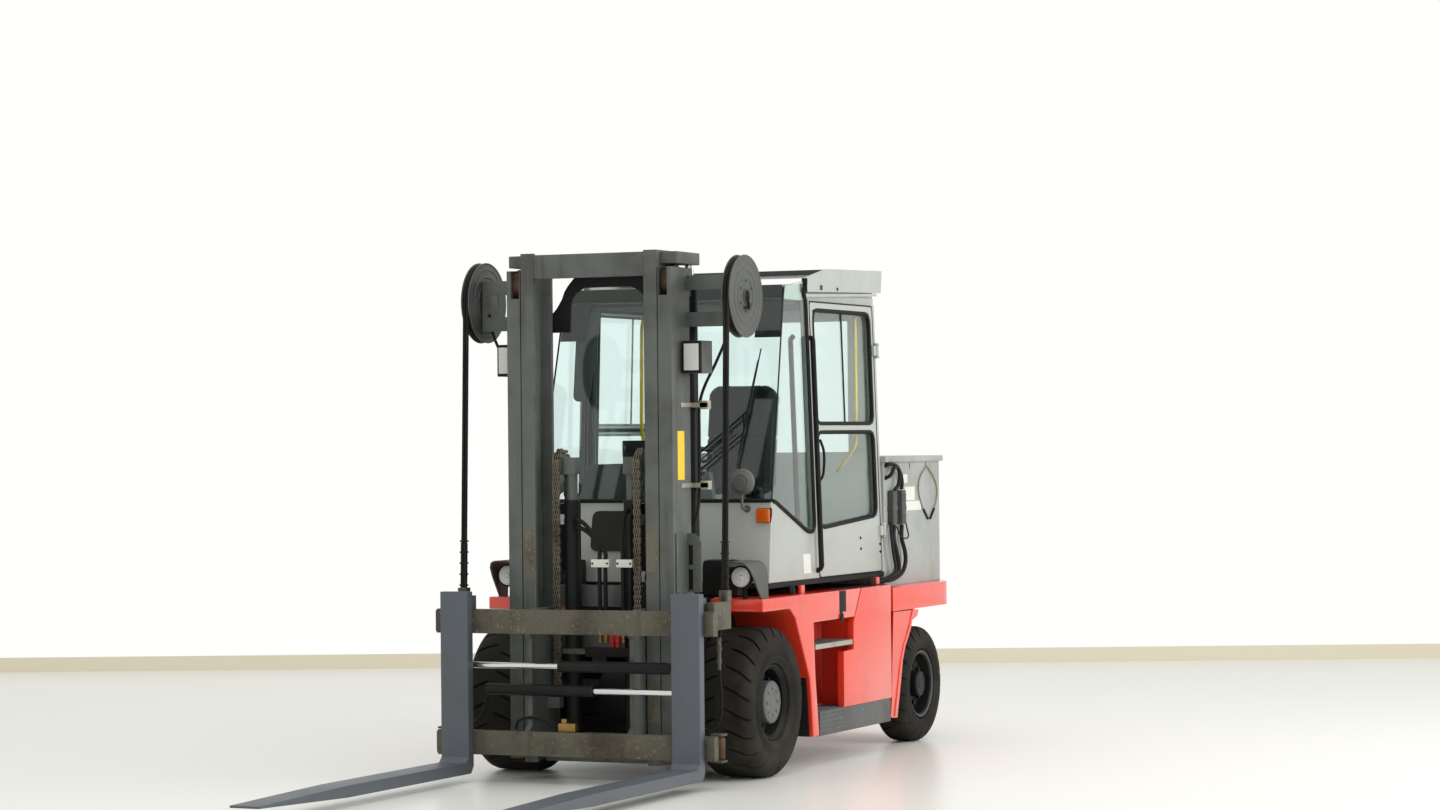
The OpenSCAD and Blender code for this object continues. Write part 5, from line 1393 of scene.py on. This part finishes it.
# %% Seat cushions
SHRINK, SWELL, SWELL_FRAMES, PRESSURE, CUSHION_FILL = 14, 14, 20, 4.0, 0.7
ROUGH_SQUARE, FINE_SQUARE = 0.012, 0.006
# Each seam: axis, place, depth and half width
SEAT_SEAMS = [(0, -125, 9, 16), (0, 125, 9, 16)]


def apply_modifiers(piece):
    """Gives a piece the mesh that its modifiers make, and takes them off."""
    graph = bpy.context.evaluated_depsgraph_get()
    mesh = bpy.data.meshes.new_from_object(piece.evaluated_get(graph))
    piece.modifiers.clear()
    piece.data = mesh


def blow_up(piece):
    """Swells a mesh of small squares by cloth pressure, and nowhere by more than SWELL."""
    scene = bpy.context.scene
    start = [v.co.copy() for v in piece.data.vertices]
    cloth = piece.modifiers.new("swell", "CLOTH")
    cloth.settings.use_pressure = True
    cloth.settings.uniform_pressure_force = PRESSURE
    cloth.settings.effector_weights.gravity = 0
    cloth.settings.quality = 5
    cloth.settings.mass = 0.3
    cloth.collision_settings.use_collision = False
    for number in range(1, SWELL_FRAMES + 1):
        scene.frame_set(number)
    apply_modifiers(piece)
    scene.frame_set(1)
    for v, home in zip(piece.data.vertices, start):
        step = v.co - home
        if step.length > SWELL / 1000:
            v.co = home + step.normalized() * SWELL / 1000


def swollen(name, node, corner, channels):
    """A cushion blown up by cloth pressure from a smaller copy of its CAD solid."""
    source = bpy.data.objects[node].data
    bm = bmesh.new()
    bm.from_mesh(source)
    bmesh.ops.remove_doubles(bm, verts=bm.verts, dist=1e-5)
    middle = sum((v.co for v in bm.verts), Vector()) / len(bm.verts)
    spread = Vector([max(abs(v.co[k] - middle[k]) for v in bm.verts) for k in range(3)])
    for v in bm.verts:
        for k in range(3):
            v.co[k] = middle[k] + (v.co[k] - middle[k]) * (spread[k] - SHRINK / 1000) / spread[k]
    bmesh.ops.dissolve_limit(bm, angle_limit=0.01, verts=bm.verts, edges=bm.edges)
    corners = [e for e in bm.edges if e.calc_length() < 0.2 and len(e.link_faces) == 2]
    bmesh.ops.bevel(bm, geom=corners, offset=corner / 1000, segments=8, profile=0.5, affect="EDGES", clamp_overlap=True)
    mesh = bpy.data.meshes.new(name)
    bm.to_mesh(mesh)
    bm.free()
    piece = add_piece(name, mesh, FABRIC, "chassis", 70)
    remesh = piece.modifiers.new("squares", "REMESH")
    remesh.mode = "VOXEL"
    remesh.voxel_size = FINE_SQUARE
    apply_modifiers(piece)
    blow_up(piece)
    lo, hi = (Vector([f(v.co[k] for v in source.vertices) for k in range(3)]) for f in (min, max))
    for v in piece.data.vertices:
        for axis, place, depth, half in channels:
            off = abs(v.co[axis] - place / 1000)
            if off < half / 1000:
                share = 0.5 + 0.5 * math.cos(math.pi * off / (half / 1000))
                v.co += (middle - v.co).normalized() * depth / 1000 * share
        for k in range(3):
            v.co[k] = min(max(v.co[k], lo[k]), hi[k])
    smoother = piece.modifiers.new("finer", "SUBSURF")
    smoother.levels = smoother.render_levels = 1
    piece.data.materials.clear()
    piece.data.materials.append(FABRIC)
    piece.data.shade_smooth()
    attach(piece, "chassis")
    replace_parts(piece, node)
    return piece


seat = swollen("seat_cushion_cloth", "seat_cushion", 60, SEAT_SEAMS)
back_rest = swollen("seat_back_cloth", "seat_back", 85, SEAT_SEAMS + [(2, 1900, 8, 14)])
print("cushions have", len(seat.data.polygons), "and", len(back_rest.data.polygons), "faces")
